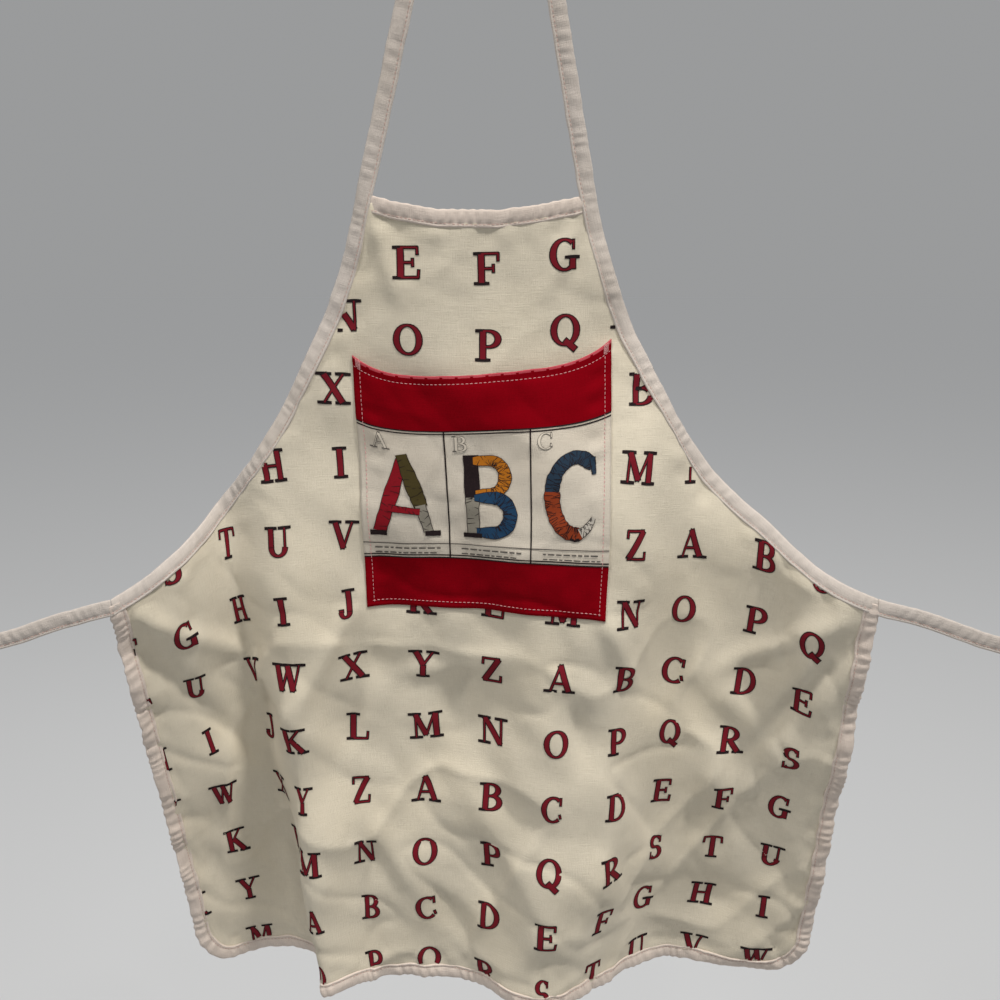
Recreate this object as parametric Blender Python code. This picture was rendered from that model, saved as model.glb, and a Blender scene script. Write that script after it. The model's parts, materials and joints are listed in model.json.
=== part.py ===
"""Bib apron with a patch pocket, hanging by its neck loop from a wall hook.

Metres, +Z up, +X to the viewer's right, the wall at y = 0 and the apron in front of it (-Y).
The origin is on the wall, behind the middle of the hook's plate. Cloth pieces are drawn on
the flat pattern (u across, v down from the bib's corners) and carried onto the hanging
shape by hang().
"""
import math

import bmesh
import bpy
from mathutils import Matrix, Vector

GAP = 0.0003                 # between pieces that touch
SEAM_GAP = 0.0010            # between a curved binding and the cloth inside it

# Hook
SADDLE = Vector((0.0, -0.060, -0.006))   # middle of the straight rod that the tape hangs on
ROD_R = 0.004
PLATE_W, PLATE_H, PLATE_T = 0.034, 0.084, 0.003
SCREW_Z = 0.030
SCREW_HOLE_R, SCREW_SHANK_R, SCREW_HEAD_R = 0.0024, 0.0020, 0.0042
SCREW_LENGTH = 0.022

# Flat pattern: a 30 inch wide apron
TAPE_W, TAPE_T = 0.0140, 0.0024
PANEL_T = 0.0012
HALF_W = 0.381
HEIGHT = 0.742
BIB_HALF = 0.095
BIB_DIP = 0.012              # the bib's top edge is cut hollow
CORNER_R = 0.050
ARMHOLE = ((BIB_HALF, 0.0), (0.133, 0.188), (0.240, 0.275), (HALF_W, 0.288))
WAIST_V = ARMHOLE[3][1]

# Hanging shape: x and forward depth of the fold lines, at the waist and at the hem
FOLD_LINES = (               # u, waist x, waist depth, hem x, hem depth
    (-0.381, -0.309, 0.050, -0.284, -0.024),     # left edge
    (-0.310, -0.266, 0.026, -0.231, -0.040),
    (-0.246, -0.229, -0.017, -0.180, -0.028),    # left valley
    (-0.183, -0.179, 0.006, -0.160, 0.031),      # sharp left fold
    (-0.119, -0.124, 0.002, -0.112, 0.004),      # soft valley
    (-0.056, -0.060, 0.012, -0.060, 0.009),
    (0.008, 0.003, 0.018, -0.005, 0.026),
    (0.072, 0.064, 0.029, 0.046, 0.053),         # broad front fold
    (0.135, 0.119, 0.031, 0.098, 0.030),
    (0.199, 0.170, 0.004, 0.143, -0.010),        # right valley
    (0.262, 0.229, 0.018, 0.197, -0.022),
    (0.326, 0.272, 0.040, 0.256, -0.020),
    (0.381, 0.317, 0.048, 0.305, -0.018),        # right edge
)
REST_Y = SADDLE.y + 0.005    # the folds reach forward, so the plane hangs back to balance
BIB_Z = -0.352               # height of the bib's corners
BIB_SAG, SAG_FADE = 0.004, 0.060
HANG_RATE = 0.958            # height taken by each metre of cloth below the bib
SIDE_DROOP, HEM_DROOP = 0.0428, 0.018   # the sides hang lower, at the waist and at the hem
FOLDS_START, WAIST_LEVEL, HEM_LEVEL = 0.09, 0.300, 0.720

# Pocket: 8.3 by 9 inches
POCKET_U, POCKET_W = 0.004, 0.212
POCKET_TOP, POCKET_BOTTOM = 0.124, 0.352
POCKET_TILT = 0.014          # the right end of the mouth is higher
POCKET_DROOP = 0.020         # the mouth's middle hangs lower
POCKET_GAPE = 0.009

# Neck tape and ties
FLEX_Z, FLEX_GAP = -0.120, 0.0009        # the tape bends here when the apron swings forward
TWIST_END_Z = -0.110
TIE_ROOT_OUT = 0.009
LEFT_TIE = ((0.0, 0.0), (0.034, -0.0135), (0.068, -0.0255), (0.102, -0.0355), (0.128, -0.0415))
RIGHT_TIE = ((0.0, 0.0), (0.034, -0.0140), (0.068, -0.0265), (0.102, -0.0370), (0.126, -0.0425))
KNOT_SIZE = Vector((0.0105, 0.0085, 0.0095))


def smooth_step(x):
    x = min(1.0, max(0.0, x))
    return x * x * (3.0 - 2.0 * x)


def section(u, column):
    """A smooth curve through one column of FOLD_LINES, read at pattern place u."""
    last = len(FOLD_LINES) - 1
    u = min(FOLD_LINES[last][0], max(FOLD_LINES[0][0], u))
    i = 0
    while i < last - 1 and u > FOLD_LINES[i + 1][0]:
        i += 1
    u0, u1 = FOLD_LINES[i][0], FOLD_LINES[i + 1][0]
    p0, p1 = FOLD_LINES[i][column], FOLD_LINES[i + 1][column]

    def slope(k):
        a, b = max(0, k - 1), min(last, k + 1)
        return (FOLD_LINES[b][column] - FOLD_LINES[a][column]) / (FOLD_LINES[b][0] - FOLD_LINES[a][0])

    width = u1 - u0
    t = (u - u0) / width
    return ((2 * t**3 - 3 * t**2 + 1) * p0 + (t**3 - 2 * t**2 + t) * width * slope(i)
            + (3 * t**2 - 2 * t**3) * p1 + (t**3 - t**2) * width * slope(i + 1))


def hang(u, v):
    """The hanging place of pattern point (u, v)."""
    to_waist = smooth_step((v - FOLDS_START) / (WAIST_LEVEL - FOLDS_START))
    to_hem = min(1.1, max(0.0, (v - WAIST_LEVEL) / (HEM_LEVEL - WAIST_LEVEL)))
    x_bib, depth_bib = u - 0.011, 0.010 - 1.1 * u * u
    x = x_bib + to_waist * (section(u, 1) - x_bib) + to_hem * (section(u, 3) - section(u, 1))
    depth = (depth_bib + to_waist * (section(u, 2) - depth_bib)
             + to_hem * (section(u, 4) - section(u, 2)))
    corner_pull = math.exp(-v / SAG_FADE) * min(1.0, (u / BIB_HALF) ** 2)
    low = smooth_step((v - WAIST_LEVEL) / (HEM_LEVEL - WAIST_LEVEL))
    droop = SIDE_DROOP + (HEM_DROOP - SIDE_DROOP) * low
    droop *= (u / HALF_W) ** 2 * smooth_step((v - 0.1) / 0.2)
    z = BIB_Z - HANG_RATE * v - BIB_SAG * (1.0 - corner_pull) - droop
    return Vector((x, REST_Y - depth, z))


def hang_normal(u, v):
    """Unit normal of the hanging cloth, towards the viewer."""
    step = 0.002
    across = hang(u + step, v) - hang(u - step, v)
    down = hang(u, v + step) - hang(u, v - step)
    normal = across.cross(down)
    normal.normalize()
    return normal if normal.y < 0 else -normal


def armhole(t):
    """Outer edge of the right armhole on the pattern, t = 0 at the bib's corner."""
    a, b, c, d = ARMHOLE
    k = 1.0 - t
    return tuple(k**3 * a[i] + 3 * k * k * t * b[i] + 3 * k * t * t * c[i] + t**3 * d[i] for i in (0, 1))


def armhole_inset(t, inset):
    """The armhole moved inset into the cloth, square to its own edge."""
    a, b = armhole(max(0.0, t - 0.01)), armhole(min(1.0, t + 0.01))
    du, dv = b[0] - a[0], b[1] - a[1]
    length = math.hypot(du, dv)
    u, v = armhole(t)
    return (u - dv / length * inset, v + du / length * inset)


def top_edge(u, inset=0.0):
    return BIB_DIP * (1.0 - min(1.0, (u / BIB_HALF) ** 2)) + inset


def side_and_hem(t, inset):
    """Right side and half of the hem as one run: t = 0 at the waist, 1 at the hem's middle."""
    radius = CORNER_R - inset
    straight = HEIGHT - CORNER_R - WAIST_V
    bend = math.pi / 2 * CORNER_R
    bottom = HALF_W - CORNER_R
    s = t * (straight + bend + bottom)
    if s < straight:
        return (HALF_W - inset, WAIST_V + s)
    if s < straight + bend:
        angle = (s - straight) / CORNER_R
        return (HALF_W - CORNER_R + radius * math.cos(angle), HEIGHT - CORNER_R + radius * math.sin(angle))
    return (HALF_W - CORNER_R - (s - straight - bend), HEIGHT - inset)


def material(name, colour, roughness, metallic=0.0):
    mat = bpy.data.materials.new(name)
    mat.use_nodes = True
    shader = mat.node_tree.nodes["Principled BSDF"]
    shader.inputs["Base Color"].default_value = (*colour, 1.0)
    shader.inputs["Roughness"].default_value = roughness
    shader.inputs["Metallic"].default_value = metallic
    return mat


def add_object(name, mesh, mat):
    mesh.materials.append(mat)
    thing = bpy.data.objects.new(name, mesh)
    bpy.context.collection.objects.link(thing)
    return thing


def solid_from_rings(name, rings, mat):
    """A closed solid through rings of the same number of points, with flat end caps."""
    bm = bmesh.new()
    loops = [[bm.verts.new(point) for point in ring] for ring in rings]
    count = len(loops[0])
    for a, b in zip(loops, loops[1:]):
        for k in range(count):
            bm.faces.new((a[k], a[(k + 1) % count], b[(k + 1) % count], b[k]))
    bm.faces.new(list(reversed(loops[0])))
    bm.faces.new(loops[-1])
    bmesh.ops.recalc_face_normals(bm, faces=bm.faces)
    mesh = bpy.data.meshes.new(name)
    bm.to_mesh(mesh)
    bm.free()
    return add_object(name, mesh, mat)


def cloth_sheet(name, rows, thickness, mat, lift=0.0):
    """A closed sheet from rows of pattern points, thickened along the cloth's normal."""
    bm = bmesh.new()
    faces_of = []
    for side in (1.0, -1.0):
        grid = []
        for row in rows:
            line = []
            for place in row:
                u, v = place[0], place[1]
                raised = lift + (place[2] if len(place) > 2 else 0.0)
                offset = hang_normal(u, v) * (raised + side * thickness / 2)
                line.append(bm.verts.new(hang(u, v) + offset))
            grid.append(line)
        faces_of.append(grid)
    front, back = faces_of
    last_row, last = len(rows) - 1, len(rows[0]) - 1
    for grid in faces_of:
        for r in range(last_row):
            for c in range(last):
                bm.faces.new((grid[r][c], grid[r][c + 1], grid[r + 1][c + 1], grid[r + 1][c]))
    rim = ([(0, c) for c in range(last)] + [(r, last) for r in range(last_row)]
           + [(last_row, c) for c in range(last, 0, -1)] + [(r, 0) for r in range(last_row, 0, -1)])
    for k, (r, c) in enumerate(rim):
        r2, c2 = rim[(k + 1) % len(rim)]
        bm.faces.new((front[r][c], front[r2][c2], back[r2][c2], back[r][c]))
    bmesh.ops.recalc_face_normals(bm, faces=bm.faces)
    mesh = bpy.data.meshes.new(name)
    bm.to_mesh(mesh)
    bm.free()
    return add_object(name, mesh, mat)


def tape(name, path, width_ways, mat, width=TAPE_W, thickness=TAPE_T):
    """A flat tape along a path, with the direction of its width given at each point."""
    rings = []
    for k, point in enumerate(path):
        along = path[min(k + 1, len(path) - 1)] - path[max(k - 1, 0)]
        along.normalize()
        across = (width_ways[k] - along * width_ways[k].dot(along)).normalized() * width / 2
        out = along.cross(across).normalized() * thickness / 2
        rings.append([point + across + out, point - across + out, point - across - out,
                      point + across - out])
    return solid_from_rings(name, rings, mat)


def turned(name, profile, centre, mat, steps=20):
    """A solid turned about a line along Y through centre; profile is (radius, y) pairs."""
    rings = []
    for radius, y in profile:
        rings.append([Vector((centre[0] + radius * math.cos(2 * math.pi * k / steps), y,
                              centre[1] + radius * math.sin(2 * math.pi * k / steps)))
                      for k in range(steps)])
    return solid_from_rings(name, rings, mat)


def tube(name, points, radius, mat, sides=12):
    rings = []
    for k, point in enumerate(points):
        along = (points[min(k + 1, len(points) - 1)] - points[max(k - 1, 0)]).normalized()
        across = Vector((1, 0, 0))
        up = along.cross(across).normalized()
        r = radius[k] if isinstance(radius, list) else radius
        rings.append([point + (across * math.cos(2 * math.pi * i / sides)
                               + up * math.sin(2 * math.pi * i / sides)) * r for i in range(sides)])
    return solid_from_rings(name, rings, mat)


def make_hook(steel, screw_steel):
    bm = bmesh.new()
    outline = []
    corner = 0.010
    for cx, cz, start in ((1, 1, 0), (-1, 1, 90), (-1, -1, 180), (1, -1, 270)):
        for k in range(7):
            angle = math.radians(start + 15 * k)
            outline.append((cx * (PLATE_W / 2 - corner) + corner * math.cos(angle),
                            cz * (PLATE_H / 2 - corner) + corner * math.sin(angle)))
    face = bm.faces.new([bm.verts.new((x, 0, z)) for x, z in outline])
    pushed = bmesh.ops.extrude_face_region(bm, geom=[face])
    moved = [v for v in pushed["geom"] if isinstance(v, bmesh.types.BMVert)]
    bmesh.ops.translate(bm, vec=(0, -PLATE_T, 0), verts=moved)
    bmesh.ops.recalc_face_normals(bm, faces=bm.faces)
    mesh = bpy.data.meshes.new("hook_plate")
    bm.to_mesh(mesh)
    bm.free()
    plate = add_object("hook_plate", mesh, steel)
    for side, word in ((1, "upper"), (-1, "lower")):
        z = side * SCREW_Z
        cutter = turned(f"hole_{word}", [(SCREW_HOLE_R, -PLATE_T - 0.002), (SCREW_HOLE_R, 0.002)],
                        (0, z), steel)
        cutter.hide_render = True
        cutter.display_type = 'WIRE'
        cut = plate.modifiers.new(f"hole_{word}", 'BOOLEAN')
        cut.object = cutter
        cut.operation = 'DIFFERENCE'
        head = -PLATE_T - GAP
        turned(f"hook_screw_{word}",
               [(0.0008, head - 0.0024), (SCREW_HEAD_R * 0.7, head - 0.0020), (SCREW_HEAD_R, head - 0.0008),
                (SCREW_HEAD_R, head), (SCREW_SHANK_R, head), (SCREW_SHANK_R, SCREW_LENGTH - 0.005),
                (0.0003, SCREW_LENGTH)], (0, z), screw_steel)

    rod = []
    start = Vector((0, -PLATE_T - GAP, SADDLE.z - 0.010))
    rod.append(start)
    start = start + Vector((0, -0.004, 0))
    rod.append(start)
    reach = Vector((0, SADDLE.y + 0.018, SADDLE.z))
    for k in range(1, 9):
        t = k / 8
        rod.append(Vector((0, start.y + (reach.y - start.y) * t,
                           start.z + (reach.z - start.z) * smooth_step(t))))
    rod.append(SADDLE.copy())
    bend_y, bend_r = SADDLE.y - 0.014, 0.014
    for k in range(9):
        angle = math.radians(75 * k / 8)
        rod.append(Vector((0, bend_y - bend_r * math.sin(angle), SADDLE.z + bend_r * (1 - math.cos(angle)))))
    tip = rod[-1] + (rod[-1] - rod[-2]).normalized() * 0.007
    radii = [ROD_R] * len(rod)
    rod += [tip]
    radii += [ROD_R]
    way = (tip - rod[-2]).normalized()
    for k in range(1, 7):                                  # round ball on the tip
        angle = math.radians(-55 + 28 * k)
        rod.append(tip + way * (0.0050 + 0.0058 * math.sin(angle)))
        radii.append(max(0.0008, 0.0058 * math.cos(angle)))
    tube("hook_arm", rod, radii, steel)


def strap_line(side):
    """Where one side of the neck tape leaves the rod, and where it meets the bib."""
    foot_u = side * (BIB_HALF - TAPE_W / 2)
    foot = hang(foot_u, 0.0) + Vector((0, 0, 0.002))
    radius = ROD_R + GAP + TAPE_T / 2
    drop = foot - SADDLE
    reach = math.hypot(drop.x, drop.z)
    lean = math.atan2(abs(drop.x), -drop.z) - math.asin(radius / reach)
    start = SADDLE + Vector((side * radius * math.cos(lean), 0, radius * math.sin(lean)))
    return start, foot, lean, radius           # lean is the start's angle above level


def make_neck_tape(cotton):
    left, right = strap_line(-1), strap_line(1)
    ends = {}
    for side, (start, foot, angle, radius) in ((-1, left), (1, right)):
        drop = (foot - start)
        ends[side] = [start + drop * ((z - start.z) / drop.z) for z in
                      (-0.030, -0.050, -0.070, -0.090, TWIST_END_Z, FLEX_Z + FLEX_GAP)]

    def width_way(z, side):
        turn = smooth_step((SADDLE.z - z) / (SADDLE.z - TWIST_END_Z)) * math.pi / 2
        return Vector((-side * math.sin(turn), math.cos(turn), 0))

    path, ways = [], []
    for point in reversed(ends[-1]):
        path.append(point)
        ways.append(width_way(point.z, 1))
    path.append(left[0])
    ways.append(width_way(left[0].z, 1))
    arc_from, arc_to = math.pi - left[2], right[2]
    for k in range(1, 10):
        angle = arc_from + (arc_to - arc_from) * k / 10
        path.append(SADDLE + Vector((math.cos(angle), 0, math.sin(angle))) * left[3])
        ways.append(Vector((0, 1, 0)))
    path.append(right[0])
    ways.append(width_way(right[0].z, -1))
    for point in ends[1]:
        path.append(point)
        ways.append(width_way(point.z, -1))
    tape("neck_bight", path, ways, cotton)

    for side, word, (start, foot, angle, radius) in ((-1, "left", left), (1, "right", right)):
        drop = foot - start
        top = start + drop * ((FLEX_Z - FLEX_GAP - start.z) / drop.z)
        path = [top + (foot - top) * (k / 5) for k in range(6)]
        tape(f"{word}_neck_strap", path, [Vector((1, 0, 0))] * 6, cotton)


def make_bindings(cotton):
    inner = TAPE_W - SEAM_GAP
    for side, word in ((-1, "left"), (1, "right")):
        rows = []
        for k in range(25):
            t = k / 24
            rows.append([(side * armhole_inset(t, i)[0], armhole_inset(t, i)[1] + 0.004 * (1 - t) ** 12)
                         for i in (0.0, inner)])
        cloth_sheet(f"{word}_armhole_binding", rows, TAPE_T, cotton)

        rows = []
        for k in range(31):
            t = 0.034 + k / 30 * (0.60 - 0.034)
            rows.append([(side * side_and_hem(t, i)[0], side_and_hem(t, i)[1]) for i in (0.0, inner)])
        cloth_sheet(f"{word}_side_binding", rows, TAPE_T, cotton)

    reach = BIB_HALF - TAPE_W - 0.0015
    us = [reach * (2 * k / 16 - 1) for k in range(17)]
    cloth_sheet("bib_top_binding", [[(u, top_edge(u)) for u in us], [(u, top_edge(u, inner)) for u in us]],
                TAPE_T, cotton)

    end = side_and_hem(0.60, 0.0)[0] - GAP
    us = [end * (2 * k / 30 - 1) for k in range(31)]
    cloth_sheet("bottom_binding", [[(u, HEIGHT - inner) for u in us], [(u, HEIGHT) for u in us]],
                TAPE_T, cotton)


def half_widths():
    """Rows of the body panel: (v at the middle, v at the edge, half width)."""
    rows = []
    first_t = 0.030
    top_mid, top_side = top_edge(0, TAPE_W), armhole_inset(first_t, TAPE_W)[1]
    waist_v = armhole_inset(1.0, TAPE_W)[1]
    for k in range(21):
        u, v = armhole_inset(first_t + (1 - first_t) * k / 20, TAPE_W)
        share = (v - top_side) / (waist_v - top_side)
        rows.append((top_mid + (waist_v - top_mid) * share, v, min(u, HALF_W - TAPE_W)))
    end = HEIGHT - CORNER_R
    for k in range(1, 13):
        v = waist_v + (end - waist_v) * k / 12
        rows.append((v, v, HALF_W - TAPE_W))
    radius = CORNER_R - TAPE_W
    for k in range(1, 7):
        angle = math.radians(15 * k)
        v = end + radius * math.sin(angle)
        rows.append((v, v, HALF_W - CORNER_R + radius * math.cos(angle)))
    return rows


def make_panels(canvas, red_canvas):
    columns = 40
    rows = []
    for v_mid, v_edge, half in half_widths():
        line = []
        for k in range(columns + 1):
            share = 2 * k / columns - 1
            line.append((share * half, v_mid + (v_edge - v_mid) * share * share))
        rows.append(line)
    cloth_sheet("body_panel", rows, PANEL_T, canvas)

    rows = []
    for r in range(13):
        down = r / 12
        line = []
        for k in range(15):
            share = 2 * k / 14 - 1
            u = POCKET_U + share * POCKET_W / 2
            open_share = (1 - share**4) * (1 - down)
            v = (POCKET_TOP + (POCKET_BOTTOM - POCKET_TOP) * down
                 + (POCKET_DROOP * open_share - POCKET_TILT / 2 * share * (1 - down)) * (1 - down))
            line.append((u, v, POCKET_GAPE * (1 - share**4) * smooth_step((1 - down) * 2.0)
                         * (1 - 0.2 * down)))
        rows.append(line)
    cloth_sheet("pocket_panel", rows, PANEL_T, red_canvas, lift=PANEL_T + GAP)


def make_ties(cotton):
    for side, word, route in ((-1, "left", LEFT_TIE), (1, "right", RIGHT_TIE)):
        corner = hang(side * HALF_W, WAIST_V + TAPE_W * 0.35)
        root = corner + Vector((side * TIE_ROOT_OUT, 0, 0))
        points = [root + Vector((side * x, 0, z)) for x, z in route]
        path = []
        for i in range(len(points) - 1):                   # a smooth line through the route
            a, b = points[i], points[i + 1]
            before = points[i - 1] if i else a - (b - a)
            after = points[i + 2] if i + 2 < len(points) else b + (b - a)
            for k in range(4):
                t = k / 4
                path.append(0.5 * ((2 * a) + (b - before) * t + (2 * before - 5 * a + 4 * b - after) * t**2
                                   + (3 * a - before - 3 * b + after) * t**3))
        path.append(points[-1])
        up = Vector((0, 0, 1))
        tape(f"{word}_waist_tie", path, [up] * len(path), cotton)

        way = (points[-1] - points[-2]).normalized()
        centre = points[-1] + way * (KNOT_SIZE.x + GAP * 2)
        bm = bmesh.new()
        bmesh.ops.create_icosphere(bm, subdivisions=2, radius=1.0)
        bmesh.ops.scale(bm, vec=KNOT_SIZE, verts=bm.verts)
        bmesh.ops.rotate(bm, cent=(0, 0, 0), matrix=Matrix.Rotation(-math.atan2(way.z, way.x), 3, 'Y'),
                         verts=bm.verts)
        bmesh.ops.translate(bm, vec=centre, verts=bm.verts)
        mesh = bpy.data.meshes.new(f"{word}_tie_knot")
        bm.to_mesh(mesh)
        bm.free()
        add_object(f"{word}_tie_knot", mesh, cotton)


def main():
    for thing in list(bpy.data.objects):
        bpy.data.objects.remove(thing, do_unlink=True)
    steel = material("hook_steel", (0.55, 0.54, 0.52), 0.35, 1.0)
    screw_steel = material("screw_steel", (0.62, 0.62, 0.62), 0.30, 1.0)
    canvas = material("printed_canvas", (0.78, 0.73, 0.63), 0.9)
    cotton = material("cotton_tape", (0.80, 0.72, 0.66), 0.9)
    red_canvas = material("red_pocket_canvas", (0.42, 0.02, 0.05), 0.85)
    make_hook(steel, screw_steel)
    make_neck_tape(cotton)
    make_bindings(cotton)
    make_panels(canvas, red_canvas)
    make_ties(cotton)


main()
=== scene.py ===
import json
import math

import bmesh
import bpy
import numpy as np
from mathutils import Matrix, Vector


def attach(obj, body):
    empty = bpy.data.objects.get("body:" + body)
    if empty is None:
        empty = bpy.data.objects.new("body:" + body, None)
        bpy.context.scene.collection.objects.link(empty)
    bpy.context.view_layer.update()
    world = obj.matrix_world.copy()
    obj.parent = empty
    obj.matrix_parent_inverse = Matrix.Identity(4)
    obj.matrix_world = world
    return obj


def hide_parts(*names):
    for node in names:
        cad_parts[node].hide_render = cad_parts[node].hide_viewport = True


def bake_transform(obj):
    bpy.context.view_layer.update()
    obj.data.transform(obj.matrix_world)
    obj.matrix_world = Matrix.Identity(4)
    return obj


print("loading the frame")
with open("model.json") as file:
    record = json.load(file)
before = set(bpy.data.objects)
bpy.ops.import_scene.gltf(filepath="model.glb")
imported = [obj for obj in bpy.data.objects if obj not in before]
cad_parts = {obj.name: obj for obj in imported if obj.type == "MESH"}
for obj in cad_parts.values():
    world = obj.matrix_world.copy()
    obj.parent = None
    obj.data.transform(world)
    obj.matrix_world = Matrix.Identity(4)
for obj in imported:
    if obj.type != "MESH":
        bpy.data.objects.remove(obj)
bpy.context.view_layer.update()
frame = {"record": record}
record = frame["record"]
colours = {m["slot"]: m["base_color"][:3] for m in record["materials"]}

# the flat cut: u runs across from the middle, v down from the bib's top corners
cut = {
    "halfWidth": 0.381, "height": 0.742, "bibHalf": 0.095, "bibDip": 0.012, "cornerRadius": 0.050,
    "armhole": ((0.095, 0.0), (0.133, 0.188), (0.240, 0.275), (0.381, 0.288)),
    "tapeWidth": 0.014,
}
waistV = cut["armhole"][3][1]
saddle = Vector((0.0, -0.060, -0.006))       # middle of the rod that the tape hangs on
drape = {
    # pattern u, waist x, waist depth, hem x, hem depth for each fold line, left to right
    "foldLines": np.array((
        (-0.381, -0.309, 0.050, -0.284, -0.024), (-0.310, -0.266, 0.026, -0.231, -0.040),
        (-0.246, -0.229, -0.017, -0.180, -0.028), (-0.183, -0.179, 0.006, -0.160, 0.031),
        (-0.119, -0.124, 0.002, -0.112, 0.004), (-0.056, -0.060, 0.012, -0.060, 0.009),
        (0.008, 0.003, 0.018, -0.005, 0.026), (0.072, 0.064, 0.029, 0.046, 0.053),
        (0.135, 0.119, 0.031, 0.098, 0.030), (0.199, 0.170, 0.004, 0.143, -0.010),
        (0.262, 0.229, 0.018, 0.197, -0.022), (0.326, 0.272, 0.040, 0.256, -0.020),
        (0.381, 0.317, 0.048, 0.305, -0.018))),
    "restY": -0.055, "bibZ": -0.352, "bibSag": 0.004, "sagFade": 0.060, "hangRate": 0.958,
    "sideDroop": 0.0428, "hemDroop": 0.018, "foldsStart": 0.09, "waistLevel": 0.300, "hemLevel": 0.720,
}
canvas = {"thickness": 0.0006, "cell": 0.0036, "edgeIn": 0.0032}   # the cut edge hides inside the tapes


def smoothStep(x):
    x = np.clip(x, 0.0, 1.0)
    return x * x * (3.0 - 2.0 * x)


def foldSection(u, column):
    lines = drape["foldLines"]
    knots, values = lines[:, 0], lines[:, column]
    slopes = np.empty_like(values)
    slopes[1:-1] = (values[2:] - values[:-2]) / (knots[2:] - knots[:-2])
    slopes[0] = (values[1] - values[0]) / (knots[1] - knots[0])
    slopes[-1] = (values[-1] - values[-2]) / (knots[-1] - knots[-2])
    u = np.clip(u, knots[0], knots[-1])
    i = np.clip(np.searchsorted(knots, u) - 1, 0, len(knots) - 2)
    width = knots[i + 1] - knots[i]
    t = (u - knots[i]) / width
    return ((2 * t**3 - 3 * t**2 + 1) * values[i] + (t**3 - 2 * t**2 + t) * width * slopes[i]
            + (3 * t**2 - 2 * t**3) * values[i + 1] + (t**3 - t**2) * width * slopes[i + 1])


def hang(u, v):
    u, v = np.asarray(u, float), np.asarray(v, float)
    toWaist = smoothStep((v - drape["foldsStart"]) / (drape["waistLevel"] - drape["foldsStart"]))
    toHem = np.clip((v - drape["waistLevel"]) / (drape["hemLevel"] - drape["waistLevel"]), 0, 1.1)
    xBib, depthBib = u - 0.011, 0.010 - 1.1 * u * u
    x = xBib + toWaist * (foldSection(u, 1) - xBib) + toHem * (foldSection(u, 3) - foldSection(u, 1))
    depth = (depthBib + toWaist * (foldSection(u, 2) - depthBib)
             + toHem * (foldSection(u, 4) - foldSection(u, 2)))
    cornerPull = np.exp(-v / drape["sagFade"]) * np.minimum(1.0, (u / cut["bibHalf"]) ** 2)
    low = smoothStep((v - drape["waistLevel"]) / (drape["hemLevel"] - drape["waistLevel"]))
    droop = drape["sideDroop"] + (drape["hemDroop"] - drape["sideDroop"]) * low
    droop = droop * (u / cut["halfWidth"]) ** 2 * smoothStep((v - 0.1) / 0.2)
    z = drape["bibZ"] - drape["hangRate"] * v - drape["bibSag"] * (1.0 - cornerPull) - droop
    return np.stack((x, drape["restY"] - depth, z), -1)


def hangNormal(u, v):
    step = 0.002
    across = hang(u + step, v) - hang(u - step, v)
    down = hang(u, v + step) - hang(u, v - step)
    normal = np.cross(across, down)
    normal /= np.linalg.norm(normal, axis=-1, keepdims=True)
    return np.where(normal[..., 1:2] < 0, normal, -normal)


def softNoise(u, v, scale, seed):          # smooth value noise, -1 to 1, the same each run
    lattice = np.random.RandomState(seed).uniform(-1, 1, (64, 64))
    a, b = np.asarray(u) / scale + 32.3, np.asarray(v) / scale + 32.7
    i, j = np.floor(a).astype(int), np.floor(b).astype(int)
    s, t = smoothStep(a - i), smoothStep(b - j)
    n = lattice[i % 64, j % 64] * (1 - s) * (1 - t) + lattice[(i + 1) % 64, j % 64] * s * (1 - t)
    return n + lattice[i % 64, (j + 1) % 64] * (1 - s) * t + lattice[(i + 1) % 64, (j + 1) % 64] * s * t


# Creases: pattern start, pattern end, half width, height towards the viewer
creases = (
    ((-0.370, 0.300), (-0.215, 0.420), 0.012, 0.0035), ((-0.372, 0.330), (-0.250, 0.520), 0.014, -0.0030),
    ((0.370, 0.300), (0.225, 0.410), 0.012, 0.0035), ((0.372, 0.320), (0.270, 0.500), 0.013, -0.0040),
    ((-0.105, 0.340), (-0.200, 0.470), 0.013, 0.0030), ((-0.060, 0.350), (-0.130, 0.520), 0.016, 0.0026),
    ((0.000, 0.350), (-0.060, 0.560), 0.018, -0.0030), ((0.060, 0.345), (0.110, 0.520), 0.016, -0.0026),
    ((0.105, 0.345), (0.160, 0.430), 0.012, 0.0030), ((-0.080, 0.420), (0.030, 0.400), 0.013, 0.0022),
    ((-0.020, 0.520), (0.060, 0.640), 0.020, 0.0032), ((-0.110, 0.560), (-0.040, 0.690), 0.018, 0.0028),
    ((0.130, 0.560), (0.105, 0.700), 0.014, 0.0030), ((0.240, 0.480), (0.300, 0.640), 0.020, 0.0030),
    ((-0.085, 0.010), (-0.060, 0.090), 0.008, 0.0018), ((0.085, 0.010), (0.055, 0.085), 0.008, 0.0018),
    ((-0.120, 0.110), (-0.170, 0.230), 0.012, 0.0020), ((0.122, 0.110), (0.180, 0.235), 0.012, 0.0022),
)


def armhole(t):
    a, b, c, d = (np.array(p) for p in cut["armhole"])
    t = np.asarray(t, float)[..., None]
    k = 1.0 - t
    return k**3 * a + 3 * k * k * t * b + 3 * k * t * t * c + t**3 * d


def armholeInset(t, inset):
    t = np.asarray(t, float)
    way = armhole(np.minimum(1.0, t + 0.01)) - armhole(np.maximum(0.0, t - 0.01))
    way /= np.linalg.norm(way, axis=-1, keepdims=True)
    return armhole(t) + np.stack((-way[..., 1], way[..., 0]), -1) * inset


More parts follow.
